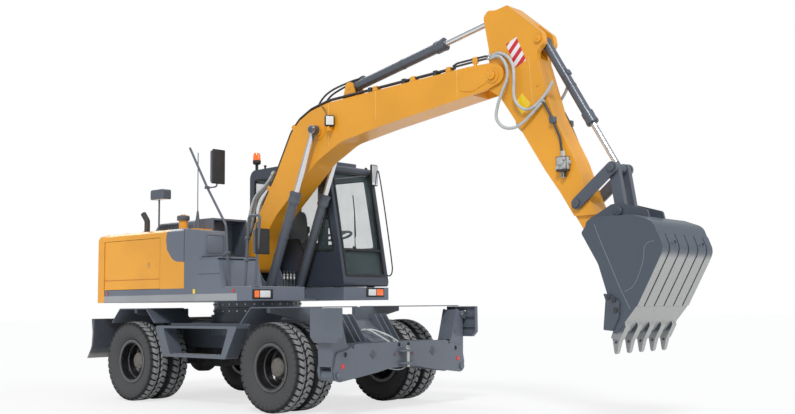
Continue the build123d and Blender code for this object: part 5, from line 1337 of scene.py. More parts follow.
@dataclass
class DeckTrim:
    """Skirt band, reflectors, grip plate, latches, louvres and rail trim of the upper body."""

    shop: Workshop
    louvre_pitch: float = 38.0
    slot_pitch: float = 44.0
    door_louvre_pitch: float = 60.0
    hood_lean: float = 24.0 / 150.0
    hood_middle_y: float = -235.0

    def skirts(self) -> None:
        """Lower band of the deck's side wall, pale grey as a painted reflection of the floor, and its
        reflectors.
        """
        # painted reflection: the band is pale grey where the lower wall reflects the floor
        band = extruded([(1250, 1398), (1255, 1392), (1254, 1330), (1250, 1312)], Axis.X, -1984, 850)
        self.shop.make("skirt_band", band.both(), SKIRT_PAINTED_REFLECTION, "upper")
        seam = rounded_box((-1988, 1244, 1306), (-1980, 1252, 1475), 2)
        self.shop.make("skirt_seam", seam.both(), SHADE_AND_SEAM_DARK, "upper")
        for name, x, finish in (("rear", -1911, RED), ("middle", 14, SIGN_YELLOW_PAINTED_GLOW), ("front", 780, RED)):
            disc = turned([(1249, 21), (1256, 21), (1259, 16), (1260, 0.1)], (x, 0, 1430), Axis.Y, 24)
            if finish is SIGN_YELLOW_PAINTED_GLOW:
                disc = rounded_box((x - 22, 1246, 1402), (x + 22, 1257, 1462), 6)
            self.shop.make(f"skirt_reflector_{name}", disc.both(), finish, "upper")

    def grip_deck(self) -> None:
        """Perforated grip plate in front of the tank, with raised round beads, and its bolts."""
        xs, ys = np.meshgrid(np.arange(600, 1050, 42.0), np.arange(-1190, -420, 42.0))
        beads = together(turned([(1475, 13), (1479, 11), (1480, 6)], (x, y, 0), Axis.Z, 8)
                         for x, y in zip(xs.ravel(), ys.ravel()))
        self.shop.make("grip_beads", beads, FITTING, "upper")
        bolts = together(bolt((x, -1200, 1475), Axis.Z, 9) for x in (590, 700, 820, 960, 1040))
        self.shop.make("deck_bolts", bolts, FITTING, "upper")

    def hood(self) -> None:
        """Slanted louvres and top slots, near black as painted shade, and cross seams of the engine hood."""
        # painted shade: the louvres and top slots are near-black bars for the shade in the openings
        shape = together(
            extruded([(x, 2286), (x + 14, 2286), (x + 46, 2368), (x + 32, 2368)], Axis.Y, -801.5, -770)
            for x in -1385 + self.louvre_pitch * np.arange(15))
        shape.points[:, 1] += (shape.points[:, 2] - 2250) * self.hood_lean
        self.shop.make("hood_louvres_right", shape, SHADE_AND_SEAM_DARK, "engine_hood")
        other = shape.mirrored().moved((0, 2 * self.hood_middle_y, 0))
        self.shop.make("hood_louvres_left", other, SHADE_AND_SEAM_DARK, "engine_hood")
        seams = together(rounded_box((x, -752, 2398), (x + 8, 282, 2403), 2) for x in (-880.0, -640.0))
        self.shop.make("hood_seams", seams, SHADE_AND_SEAM_DARK, "engine_hood")
        top = together(rounded_box((x, -520, 2399), (x + 20, 40, 2402.5), 2)
                       for x in -1290 + self.slot_pitch * np.arange(8))
        self.shop.make("hood_top_slots", top, SHADE_AND_SEAM_DARK, "engine_hood")

    def doors(self) -> None:
        """Latch plate, pocket and lock of both service doors, and the left door's louvres; the pocket is a
        darker yellow and the louvres near black, both painted shade.
        """
        for side in Side:
            body = f"{side.word}_service_door"
            plate = rounded_box((-992, 1246, 1748), (-908, 1252.5, 1844), 6)
            self.shop.make(f"latch_plate_{side.word}", plate.on(side), YELLOW, body, slot="yellow_paint")
            # painted shade: the pocket is a darker yellow patch for the shade in the latch recess
            pocket = rounded_box((-976, 1248, 1762), (-924, 1253.5, 1830), 5)
            self.shop.make(f"latch_pocket_{side.word}", pocket.on(side), PAINTED_SHADE_YELLOW, body)
            lock = turned([(1252, 9), (1257, 9), (1259, 7), (1259.5, 0.1)], (-950, 0, 1790), Axis.Y, 20)
            self.shop.make(f"latch_lock_{side.word}", lock.on(side), FITTING, body)
        # painted shade: near-black slits for the shade in the louvre openings
        slits = together(rounded_box((x, 1248, 1700), (x + 30, 1252, 2040), 3)
                         for x in -1880 + self.door_louvre_pitch * np.arange(9))
        self.shop.make("door_louvres_left", slits, SHADE_AND_SEAM_DARK, "left_service_door")

    def tank(self) -> None:
        """Filler cap, tray mat and plain front panel of the tank, and the fairing's seam."""
        cap = turned([(1856, 60), (1876, 60), (1884, 52), (1886, 20), (1892, 18), (1893, 0.1)],
                     (340, -930, 0), Axis.Z, 32)
        self.shop.make("tank_cap", cap, BLACK_RUBBER, "upper")
        seam = rounded_box((-200, -1252, 1820), (-192, -1244, 2236), 2)
        self.shop.make("tank_seam", seam, SHADE_AND_SEAM_DARK, "upper")
        mat = rounded_box((150, -1246, 1855), (486, -606, 1866), 5)
        self.shop.make("tank_tray_mat", mat, BLACK_RUBBER, "upper")
        panel = rounded_box((158, -1172, 1908), (166, -908, 2132), 3)
        self.shop.make("tank_panel", panel, GREY, "upper", slot="grey_paint")

    def roof_items(self) -> None:
        """Pre-cleaner cap, lamp lens, mirror glasses and backs, and clamps and feet of the rails."""
        cap = turned([(2380, 80), (2386, 84), (2432, 84), (2446, 74), (2450, 40), (2458, 34), (2460, 0.1)],
                     (-620, -950, 0), Axis.Z, 36)
        self.shop.make("precleaner_cap", cap, BARREL_GREY, "upper")
        lens = rounded_box((-1196, -1052, 2686), (-920, -948, 2716), 10)
        self.shop.make("pole_lamp_lens", lens, CLEAR, "upper")
        for name, low, high in (("high", (303, -1232, 2784), (308, -1066, 3192)),
                                ("low", (1051, -1172, 1874), (1056, -982, 2158))):
            self.shop.make(f"mirror_glass_{name}", rounded_box(low, high, 2.4), MIRROR, "upper")
        backs = rounded_box((346, -1246, 2770), (372, -1052, 3206), 12)
        backs = backs + rounded_box((1094, -1186, 1860), (1122, -968, 2172), 12)
        self.shop.make("mirror_backs", backs, BLACK_RUBBER, "upper")
        clamps = together(rounded_box((x - 26, -1178, z - 18), (x + 26, -1122, z + 18), 8)
                          for x, z in ((905, 1800), (925, 2060), (136, 2743), (545, 1900)))
        self.shop.make("rail_clamps", clamps, BARREL_GREY, "upper")
        feet = together(rounded_box((x - 34, -1186, 1475.5), (x + 34, -1114, 1486), 4)
                        for x in (880, 1062, 575))
        self.shop.make("rail_feet", feet, GREY, "upper")

    def hydraulics(self) -> None:
        """Manifold, four plated couplings and dark pipes between the boom cylinders."""
        block = rounded_box((395, -150, 1340), (470, 110, 1470), 8)
        self.shop.make("deck_manifold", block, BARREL_GREY, "upper")
        ys = (-110.0, -50.0, 10.0, 70.0)
        pipes = together(hose([(432, y, 1460), (430, y, 1560), (428, y, 1640), (426, y, 1700)], 11, 0.0,
                              (1, 0, 0)) for y in ys)
        self.shop.make("deck_pipes", pipes, DARK_PIPE, "upper")
        fits = together(turned([(1590, 15), (1596, 17), (1612, 17), (1616, 14), (1636, 14), (1640, 17),
                                (1656, 17), (1660, 13)], (429, y, 0), Axis.Z, 6) for y in ys)
        self.shop.make("deck_fittings", fits, FITTING, "upper")

    def tail(self) -> None:
        """Two lifting eyes, each a half ellipse of bar, and the cover bolts on the rear deck."""
        arc = np.linspace(0, math.pi, 15)
        eyes = together(
            swept(np.stack((-2150 + 0 * arc, y + 46 * np.cos(arc), 2243 + 52 * np.sin(arc)), axis=-1), 11, 10,
                  (1, 0, 0)) for y in (-780.0, 780.0))
        self.shop.make("lifting_eyes", eyes, YELLOW, "upper", slot="yellow_paint")
        bolts = together(bolt((x, y, 2250), Axis.Z, 10) for x in (-1900, -1700) for y in (-600, 0, 600))
        self.shop.make("deck_cover_bolts", bolts, BLACK_STEEL, "upper")

    def build(self) -> None:
        """Make all of it."""
        self.skirts()
        self.grip_deck()
        self.hood()
        self.doors()
        self.tank()
        self.roof_items()
        self.hydraulics()
        self.tail()


# ---------------------------------------------------------------- cab
@dataclass
class CabTrim:
    """Seals, mirror, wiper, beacon, rails and furniture of the cab."""

    shop: Workshop

    @staticmethod
    def frame_strip(outline: np.ndarray, width: float, axis: Axis, low: float, high: float) -> Surface:
        """A closed strip that follows an outline.

        Args:
            outline: closed rows of two coordinates.
            width: of the strip, measured inwards.
            axis: across the pane.
            low: its lower face.
            high: its upper face.

        Returns:
            Closed ring whose section is a rectangle: outer, outer, inner and inner rail.
        """
        first, second, along = axis.frame
        ahead = unit(np.roll(outline, -1, axis=0) - np.roll(outline, 1, axis=0))
        inward = np.stack((-ahead[:, 1], ahead[:, 0]), axis=-1)
        middle = outline.mean(axis=0)
        facing = np.sign(((middle - outline) * inward).sum(axis=1, keepdims=True))
        inner = outline + inward * facing * width

        def lifted(flat: np.ndarray, level: float) -> np.ndarray:
            """Two coordinates and a level as points."""
            return flat[:, :1] * first + flat[:, 1:] * second + level * along

        rails = (lifted(outline, low), lifted(outline, high), lifted(inner, high), lifted(inner, low))
        return grid(np.stack(rails, axis=1), wrap_rows=True)

    def seals(self) -> None:
        """Black rubber round every pane, and the bar across the windscreen."""
        right = [(-706, 2134), (-706, 3046), (676, 3036), (900, 1955), (303, 1955), (203, 2134)]
        door = [(-112, 2008), (-112, 3002), (657, 2988), (842, 2008)]
        left = [(-708, 2132), (-708, 3048), (-262, 3058), (-262, 2132)]
        rear = [(408, 2302), (1174, 2302), (1174, 3028), (408, 3028)]
        panes = (("right", right, 50, 22, Axis.Y, 349, 372, "upper"),
                 ("door", door, 50, 20, Axis.Y, 1206, 1233, "cab_door"),
                 ("left", left, 40, 20, Axis.Y, 1206, 1233, "upper"),
                 ("rear", rear, 40, 20, Axis.X, -803, -778, "upper"))
        for name, corners, radius, width, axis, low, high, body in panes:
            strip = self.frame_strip(rounded_outline(corners, radius), width, axis, low, high)
            self.shop.make(f"seal_{name}", strip, BLACK_RUBBER, body)
        front = rounded_outline([(409, 1622), (1173, 1622), (1173, 3048), (409, 3048)], 40)
        strip = self.frame_strip(front, 26, Axis.X, 0, 24)
        strip.points[:, 0] += self.windscreen_x(strip.points[:, 2]) - 14
        self.shop.make("seal_front", strip, BLACK_RUBBER, "upper")
        bar = rounded_box((0, 400, 1962), (20, 1182, 1996), 6)
        bar.points[:, 0] += self.windscreen_x(bar.points[:, 2]) - 12
        self.shop.make("windscreen_bar", bar, BLACK_RUBBER, "upper")

    @staticmethod
    def windscreen_x(z: np.ndarray | float) -> np.ndarray | float:
        """X of the cab's sloping front at a height: a straight line from 1075 at 1550 to 790 at 3130."""
        return 1075 - 285 * (np.asarray(z) - 1550) / 1580

    def front_bars(self) -> None:
        """Wiper, roof studs, hand rail beside the windscreen and its mirror."""
        x = float(self.windscreen_x(2400))
        arm = hose([(x + 90, 640, 2006), (x + 62, 660, 2250), (x + 22, 700, 2520)], 6, 0.0, (1, 0, 0))
        blade = hose([(x + 70, 670, 2150), (x + 30, 695, 2450), (x - 20, 715, 2720)], 7, 0.0, (1, 0, 0))
        pivot = turned([(-20, 22), (6, 22), (12, 14), (13, 0.1)], (x + 82, 640, 2006), Axis.X, 20)
        self.shop.make("wiper", arm + blade + pivot, BLACK_RUBBER, "upper")
        studs = together(turned([(3128, 16), (3150, 14), (3156, 8), (3157, 0.1)], (x, y, 0), Axis.Z, 14)
                         for x, y in ((735, 1150), (708, 1195), (735, 430), (708, 400)))
        self.shop.make("roof_studs", studs, BLACK_RUBBER, "upper")
        rail = hose([(806, 1200, 3080), (866, 1236, 3098), (905, 1246, 3040), (1010, 1246, 2500),
                     (1118, 1246, 1850), (1128, 1246, 1700), (1096, 1242, 1640), (1050, 1225, 1640)], 9, 0.0,
                    (0, 1, 0.2))
        self.shop.make("front_rail", rail, BLACK_RUBBER, "upper")
        shell = rounded_box((838, 1120, 2888), (876, 1256, 3190), 18)
        self.shop.make("cab_mirror_back", shell, BLACK_RUBBER, "upper")
        glass = rounded_box((874, 1132, 2902), (880, 1246, 3176), 2.8)
        self.shop.make("cab_mirror_glass", glass, MIRROR, "upper")

    def outside(self) -> None:
        """Beacon, aerial knob, door handle, pressed ribs below the side pane and the grab rail."""
        beacon = (-730, 420, 0)
        lamp = turned([(3330, 52), (3345, 55), (3420, 50), (3440, 38), (3446, 0.1)], beacon, Axis.Z, 32)
        self.shop.make("beacon_lens", lamp, AMBER, "upper")
        base = turned([(3180, 22), (3270, 22), (3275, 46), (3290, 58), (3332, 58), (3334, 50)], beacon,
                      Axis.Z, 32)
        self.shop.make("beacon_base", base, BLACK_RUBBER, "upper")
        knob = turned([(3190, 14), (3225, 14), (3232, 22), (3246, 20), (3250, 0.1)], (-560, 430, 0),
                      Axis.Z, 20)
        self.shop.make("aerial_knob", knob, BLACK_RUBBER, "upper")
        handle = rounded_box((-90, 1230, 1930), (70, 1238, 1976), 4)
        handle = handle + rounded_box((-70, 1232, 1940), (50, 1256, 1964), 8)
        self.shop.make("door_handle", handle, BLACK_RUBBER, "cab_door")
        rib = together(rounded_box((x, 346, z), (x + w, 353, z + h), 3)
                       for x, z, w, h in ((-100, 1700, 380, 14), (-100, 1760, 14, 100), (330, 1960, 12, 130)))
        self.shop.make("side_ribs", rib, CAB_GREY, "upper", slot="cab_paint")
        grab = hose([(-235, 1232, 1900), (-235, 1268, 1925), (-235, 1272, 2300), (-235, 1268, 2660),
                     (-235, 1232, 2690)], 10, 0.0, (1, 0, 0))
        self.shop.make("cab_grab_rail", grab, BLACK_RUBBER, "upper")

    def seat(self) -> None:
        """Driver's seat: cushion with its bolsters, back, head rest and the head rest's posts."""
        base = cushion((-330, 620, CAB_FLOOR + 330), (188, 1010, CAB_FLOOR + 452), 0.28, 16, (0.34, 0.62))
        wings = together(cushion((-300, y, CAB_FLOOR + 380), (170, y + 70, CAB_FLOOR + 470), 0.4, 0)
                         for y in (615.0, 945.0))
        back = cushion((-40, 625, -250), (560, 1005, -150), 0.32, 18, (0.3, 0.55, 0.78))
        back = back.turned(Axis.Y, -98).moved((-470, 0, CAB_FLOOR + 470))
        head = cushion((-404, 700, CAB_FLOOR + 1030), (-318, 930, CAB_FLOOR + 1200), 0.4, 0)
        pads = (("seat_cushion", base, 0.8, ["driver_seat"]), ("seat_bolsters", wings, 0.85, []),
                ("seat_back", back, 0.8, []), ("seat_head_rest", head, 0.85, []))
        for name, shape, fill, nodes in pads:
            pad = self.shop.make(name, shape, SEAT_CLOTH, "upper", smooth=80, slot="seat_fabric",
                                 replaces=nodes)
        posts = together(swept(np.array([(-372.0, y, CAB_FLOOR + 980), (-366.0, y, CAB_FLOOR + 1060)]), 7, 10)
                         for y in (770.0, 860.0))
        self.shop.make("head_rest_posts", posts, FITTING, "upper")

    def controls(self) -> None:
        """Joysticks, monitor, pedals, floor mat and steering wheel hub."""
        sticks = []
        for y in (535.0, 1100.0):
            boot = turned([(2100, 52), (2112, 50), (2124, 34), (2140, 30), (2152, 18)], (200, y, 0),
                          Axis.Z, 24)
            grip = hose([(200, y, 2140), (204, y, 2200), (212, y, 2250)], 12, 0.0)
            knob = rounded_box((190, y - 22, 2236), (240, y + 22, 2330), 20)
            sticks += [boot, grip, knob]
        self.shop.make("joysticks", together(sticks), BLACK_RUBBER, "upper")
        screen = rounded_box((590, 410, 2280), (622, 560, 2400), 8).turned(Axis.Z, -18, (600, 480, 2300))
        post = hose([(640, 400, 2050), (626, 430, 2180), (606, 480, 2290)], 10)
        self.shop.make("monitor", screen + post, BLACK_RUBBER, "upper")
        feet = (660.0, 860.0, 960.0)
        pedals = together(
            rounded_box((700, y, 1580), (820, y + 70, 1596), 5).turned(Axis.Y, -32, (700, y, 1580))
            for y in feet)
        rods = together(hose([(740, y + 35, 1545), (745, y + 35, 1600), (760, y + 35, 1625)], 7)
                        for y in feet)
        self.shop.make("pedals", pedals + rods, BLACK_RUBBER, "upper")
        mat = rounded_box((200, 420, 1540.3), (960, 1165, 1546), 2)
        self.shop.make("floor_mat", mat, BLACK_RUBBER, "upper")
        ring = turned([(-14, 20), (-8, 34), (6, 34), (14, 22), (15, 0.1)], (0, 0, 0), Axis.Z, 24)
        ring = ring.turned(Axis.Y, -15.6).moved((545, 790, 2190))
        self.shop.make("steering_hub", ring, BLACK_RUBBER, "upper")

    def build(self) -> None:
        """Make all of it."""
        self.seals()
        self.front_bars()
        self.outside()
        self.seat()
        self.controls()


# ---------------------------------------------------------------- working gear
@dataclass
class BoomTrim:
    """Clamps, seams, plates, work light and hoses of the boom."""

    shop: Workshop
    back: tuple[tuple[float, float], ...] = (
        (-50, 2400), (330, 2957), (640, 3500), (790, 3640), (1000, 3740), (1313, 3808), (3560, 3905))

    def clamps(self) -> None:
        """Yellow clamp saddles over the pipes, with a bolt in each."""
        spots = ((0, 0.7), (2, 0.35), (5, 0.36), (5, 0.63), (5, 0.87))
        saddle = rounded_box((-34, 76, 1), (34, 170, 34), 6) + rounded_box((-30, 80, 30), (30, 168, 62), 8)
        saddle = saddle + bolt((0, 124, 62), Axis.Z, 12)
        parts = []
        for run, share in spots:
            a, b = np.array(self.back[run]), np.array(self.back[run + 1])
            at, way = a + (b - a) * share, (b - a) / np.linalg.norm(b - a)
            tilt = -math.degrees(math.atan2(way[1], way[0]))
            parts.append(saddle.turned(Axis.Y, tilt).moved((at[0], 0, at[1])))
        self.shop.make("line_clamps", together(parts).both(), YELLOW, "boom", slot="yellow_paint")

    def nose_pipes(self) -> None:
        """Pipe ends that run on beside the nose, their clamp and couplings."""
        lower = hose([(3318, -141, 3934), (3365, -153, 3938), (3420, -158, 3942), (3760, -158, 3958),
                      (3830, -158, 3956)], 12, 0.0, (0, 0.2, 1))
        upper = hose([(3330, -146, 3956), (3380, -156, 3968), (3440, -160, 3976), (3760, -160, 3988),
                      (3845, -160, 3984)], 12, 0.0, (0, 0.2, 1))
        self.shop.make("nose_pipes", (lower + upper).both(), DARK_PIPE, "boom")
        bracket = rounded_box((3640, -170.5, 3760), (3676, -145, 3936), 6)
        bracket = bracket + rounded_box((3622, -172, 3926), (3696, -143, 4004), 8)
        self.shop.make("nose_clamps", bracket.both(), YELLOW, "boom", slot="yellow_paint")
        fits = together(
            turned([(0, 17), (8, 20), (26, 20), (30, 16), (46, 16), (50, 20), (70, 20), (74, 15)],
                   (x, -158, z), Axis.X, 6) for x, z in ((3822, 3957), (3836, 3986)))
        self.shop.make("nose_fittings", fits.both(), FITTING, "boom")

    def seams(self) -> None:
        """Weld seams across the side plates and the doubled plate near the nose."""
        seams = together(
            rounded_box((x - 5, 167, low), (x + 5, 172.5, high), 2.4)
            for x, low, high in ((2140, 3486, 3838), (3400, 3586, 3892), (1330, 3240, 3796)))
        self.shop.make("boom_seams", seams.both(), BOOM_WELD, "boom", slot="yellow_paint")
        plate = rounded_outline([(3420, 3850), (3770, 3862), (3840, 3800), (3830, 3690), (3620, 3612),
                                 (3440, 3640)], 40)
        self.shop.make("nose_plate", extruded(plate, Axis.Y, 168, 177).both(), YELLOW, "boom", bevel=3,
                       slot="yellow_paint")

    def work_light(self) -> None:
        """Lamp with its bracket and cable on the boom's right side."""
        pivot = (1416, -236, 3555)
        shell = rounded_box((1376, -300, 3484), (1440, -176, 3628), 22)
        fins = together(rounded_box((1360, -290, z), (1380, -186, z + 8), 3)
                        for z in np.arange(3500, 3610, 18.0))
        bracket = rounded_box((1386, -262, 3424), (1414, -168, 3486), 6)
        shell = (shell + fins).turned(Axis.Z, -38, pivot)
        self.shop.make("work_light_shell", shell, BLACK_RUBBER, "boom")
        self.shop.make("work_light_bracket", bracket, YELLOW, "boom", slot="yellow_paint")
        lens = rounded_box((1434, -286, 3500), (1445, -190, 3612), 5).turned(Axis.Z, -38, pivot)
        self.shop.make("work_light_lens", lens, CLEAR, "boom")
        cable = hose([(1160, -150, 3790), (1230, -178, 3760), (1290, -186, 3700), (1322, -200, 3640),
                      (1340, -240, 3620)], 5, 0.0, (0, 0.3, 1))
        self.shop.make("work_light_cable", cable, DARK_PIPE, "boom")

    def nose_hoses(self) -> None:
        """Pale hose loops from the boom's nose to the arm's pipes."""
        sets = {
            "nose_hose_long": [(3890, -158, 3957), (3960, -168, 3962), (4040, -190, 3925), (4112, -205, 3820),
                               (4122, -208, 3685), (4050, -205, 3542), (3985, -200, 3408), (3962, -200, 3266),
                               (4035, -200, 3165), (4150, -200, 3128), (4275, -195, 3155),
                               (4405, -182, 3250), (4540, -170, 3364)],
            "nose_hose_short": [(3908, -158, 3986), (3990, -165, 3992), (4120, -188, 3925),
                                (4195, -200, 3807), (4208, -205, 3651), (4203, -205, 3486),
                                (4240, -200, 3382), (4327, -190, 3315), (4430, -180, 3323),
                                (4546, -165, 3415), (4622, -158, 3500), (4668, -150, 3580)],
        }
        for name, points in sets.items():
            for side in Side:
                tube = hose(points, 17, 0.10, (0, 1, 0.15)).mirrored().on(side)
                piece = self.shop.make(f"{name}_{side.word}", tube, PALE_HOSE, None, smooth=60)
                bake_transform(piece)

    def foot_hoses(self) -> None:
        """Thick pale hoses from the deck up the boom's back.

        Each lane is a Y and a lift, and the route is X and Z.
        """
        lanes = ((-118.0, 0.0), (-52.0, 14.0), (52.0, 6.0), (118.0, 20.0))
        route = ((-470, 2050), (-420, 2150), (-330, 2250), (-270, 2400), (-222, 2560), (-150, 2700),
                 (-40, 2790), (60, 2850), (150, 2925), (222, 3010))
        for number, (y, lift) in enumerate(lanes):
            points = [(x, y, z + lift) for x, z in route]
            piece = self.shop.make(f"foot_hose_{number}", hose(points, 21, 0.06, (0, 1, 0)), PALE_HOSE, None,
                                   smooth=60)
            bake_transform(piece)
        stubs = together(turned([(0, 24), (10, 28), (34, 28), (38, 22), (60, 22)], (0, y, 0), Axis.X, 6)
                         .turned(Axis.Y, -55).moved((205, 0, 2985)) for y, _ in lanes)
        self.shop.make("foot_hose_fittings", stubs, FITTING, "boom")
        deck = together(turned([(1990, 34), (2020, 34), (2026, 28), (2060, 28), (2066, 24)], (-472, y, 0),
                               Axis.Z, 6) for y, _ in lanes)
        self.shop.make("deck_hose_fittings", deck, FITTING, "upper")

    def cylinder_hoses(self) -> None:
        """Dark hoses from the boom's back to the arm cylinder's ports."""
        for number, y in enumerate((-46.0, 46.0)):
            points = [(985, y, 3745), (1010, y, 3810), (1077, y, 3890), (1180, y, 3960), (1330, y, 4010),
                      (1500, y * 0.8, 4045), (1650, y * 0.6, 4070), (1760, y * 0.4, 4080)]
            piece = self.shop.make(f"arm_cylinder_hose_{number}", hose(points, 13, 0.0, (0, 1, 0)), DARK_PIPE,
                                   None, smooth=60)
            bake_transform(piece)

    def build(self) -> None:
        """Make all of it."""
        self.clamps()
        self.nose_pipes()
        self.seams()
        self.work_light()
        self.nose_hoses()
        self.foot_hoses()
        self.cylinder_hoses()


@dataclass
class CylinderTrim:
    """Gland bolts, port blocks and pipes of the big cylinders."""

    shop: Workshop

    def gland(self, base: Point, eye: Point, distance: float, radius: float) -> Surface:
        """Ring of bolt heads, collar and sleeve at a cylinder's gland, and a strap on its barrel.

        Args:
            base: the barrel's pin.
            eye: the rod's pin.
            distance: from the base pin to the gland's face.
            radius: of the bolt circle.

        Returns:
            The collar, bolts, strap and sleeve, made along X and then laid along the cylinder.
        """
        way = np.asarray(eye, float) - np.asarray(base, float)
        angle = -math.degrees(math.atan2(way[2], way[0]))
        collar = turned([(0, radius * 0.86), (12, radius * 0.84), (14, radius * 0.62)], (distance, 0, 0),
                        Axis.X, 28)
        heads = ring_of(lambda at: bolt(at, Axis.X, 9), (distance, 0, 0), Axis.X, radius, 8)
        strap = hoop([(0, radius * 0.9), (0, radius * 1.1), (24, radius * 1.1), (24, radius * 0.9)],
                     (distance * 0.55, 0, 0), Axis.X, 32)
        sleeve = hoop([(-142, radius), (-138, radius * 1.28), (-96, radius * 1.28), (-92, radius * 1.22),
                       (-34, radius * 1.22), (-30, radius * 1.33), (-4, radius * 1.33), (0, radius)],
                      (distance, 0, 0), Axis.X, 40)
        return (collar + heads + strap + sleeve).turned(Axis.Y, angle).moved(base)

    def build(self) -> None:
        """Glands of the boom, arm and bucket cylinders, and the pipe along the bucket cylinder."""
        barrels = [(0.0, y, 0.0) for y in (-262.0, 262.0)]
        boom = together(self.gland(BOOM_CYLINDER_BASE, BOOM_ROD_EYE, 1375, 60).moved(at) for at in barrels)
        self.shop.make("boom_glands", boom, BARREL_GREY, "boom_barrels", slot="grey_paint")
        arm = self.gland(ARM_CYLINDER_BASE, ARM_ROD_EYE, 1525, 60)
        self.shop.make("arm_gland", arm, BARREL_GREY, "arm_barrel", slot="grey_paint")
        bucket = self.gland(BUCKET_CYLINDER_BASE, BUCKET_ROD_EYE, 1120, 51)
        self.shop.make("bucket_gland", bucket, BARREL_GREY, "bucket_barrel", slot="grey_paint")
        ports = rounded_box((-30, -40, -26), (34, 40, 66), 10).turned(Axis.Y, 60).moved((4722, 0, 3660))
        self.shop.make("bucket_ports", ports, BARREL_GREY, "bucket_barrel")
        line = hose([(4740, 74, 3640), (4775, 82, 3572), (4960, 82, 3252), (5010, 80, 3166),
                     (5002, 66, 3160)], 9, 0.0, (0, 1, 0.1))
        line = line + hose([(4740, -74, 3640), (4775, -82, 3572), (4800, -80, 3520)], 9, 0.0, (0, 1, 0.1))
        self.shop.make("bucket_cylinder_pipe", line, DARK_PIPE, "bucket_barrel")
        arm_port = rounded_box((-36, -30, 0), (36, 30, 50), 10).turned(Axis.Y, -11.5).moved((1775, 0, 4058))
        self.shop.make("arm_port", arm_port, BARREL_GREY, "arm_barrel")


@dataclass
class ArmTrim:
    """Striped reflectors, blank sign plates, bolts, valves, pipe clamps and seams of the arm."""

    shop: Workshop

    def build(self) -> None:
        """Striped plate, blank lozenge, bolts, valve, pipe clamps and weld seams, on both sides."""
        plate = extruded([(4069, 4079), (4210, 4137), (4327, 3861), (4188, 3800)], Axis.Y, 139.5, 143)
        self.shop.make("arm_reflector", plate.both(), STRIPES, "arm")
        lozenge = rounded_outline([(4264, 3508), (4378, 3375), (4262, 3262), (4172, 3408)], 8)
        self.shop.make("arm_sign_plate", extruded(lozenge, Axis.Y, 139.5, 142).both(), SIGN_YELLOW_PAINTED_GLOW, "arm")
        self.shop.make("arm_bolts", bolt((4467, 140, 3565), Axis.Y, 13).both(), YELLOW, "arm",
                       slot="yellow_paint")
        valve = rounded_box((4712, 139.5, 2612), (4846, 213, 2758), 20)
        for x, z, size in ((4780, 2690, 30), (4738, 2640, 22), (4822, 2728, 20), (4816, 2644, 20)):
            valve = valve + turned([(205, size), (228, size), (232, size * 0.8)], (x, 0, z), Axis.Y, 6)
        for x, z, size in ((4779, 2536, 26), (4779, 2750, 24)):
            valve = valve + turned([(0, size), (60, size), (66, size * 0.8)], (x, 172, z), Axis.Z, 6)
        valve = valve + turned([(0, 20), (24, 20), (28, 15)], (4842, 172, 2690), Axis.X, 6)
        self.shop.make("arm_valves", valve.both(), VALVE_PALE, "arm")
        clamp = rounded_box((4630, 139.5, 3124), (4700, 196, 3192), 10)
        self.shop.make("arm_pipe_clamps", clamp.both(), BARREL_GREY, "arm")
        fits = turned([(0, 16), (8, 20), (26, 20), (30, 15), (52, 15)], (4530, 170, 3385), Axis.X, 6)
        fits = fits.turned(Axis.Y, 20, (4530, 170, 3385))
        self.shop.make("arm_pipe_fittings", fits.both(), FITTING, "arm")
        seam = together(
            rounded_box((-4, 139, 0), (4, 141.5, length), 1.2).turned(Axis.Y, lean).moved((x, 0, z))
            for x, z, length, lean in ((4840, 2640, 500, -20), (4400, 3330, 560, -4)))
        self.shop.make("arm_seams", seam.both(), ARM_WELD, "arm", slot="yellow_paint")


@dataclass
class BucketTrim:
    """Weld seams, cutter bolts, tooth pins and strip holes of the bucket."""

    shop: Workshop
    half: float = 540.0

    def build(self) -> None:
        """Side seams along two runs of X and Z, bolts of the side cutters, tooth pins and strip holes, the
        holes being near-black discs of painted shade.
        """
        front = ((5342, 1996), (5401, 1840), (5502, 1605), (5601, 1375), (5699, 1176))
        back = ((5975, 1806), (5905, 1792), (5868, 1745), (5850, 1620), (5790, 1470), (5735, 1385),
                (5650, 1340))
        seam = together(swept(smooth_path([(x, self.half, z) for x, z in run], 5), 4.0, 8)
                        for run in (front, back))
        self.shop.make("bucket_seams", seam.both(), BUCKET_WELD, "bucket", slot="bucket_steel")
        bolts = together(bolt((x, self.half + 22, z), Axis.Y, 20)
                         for x, z in ((5545, 1262), (5490, 1290), (5562, 1165)))
        self.shop.make("cutter_bolts", bolts.both(), BLACK_STEEL, "bucket")
        pins = together(
            turned([(y - 41, 11), (y - 38, 13), (y + 38, 13), (y + 41, 11)], (5528, 0, 862), Axis.Y, 12)
            for y in (-480.0, -240.0, 0.0, 240.0, 480.0))
        self.shop.make("tooth_pins", pins, BLACK_STEEL, "bucket")
        # painted shade: near-black discs for the shade inside the wear strip's holes
        holes = together(turned([(0, 16), (3, 16)], (0, 0, 0), Axis.X, 16).turned(Axis.Y, -14)
                         .moved((6062, y, 1800)) for y in (-300.0, 300.0))
        self.shop.make("strip_holes", holes, SHADE_AND_SEAM_DARK, "bucket")


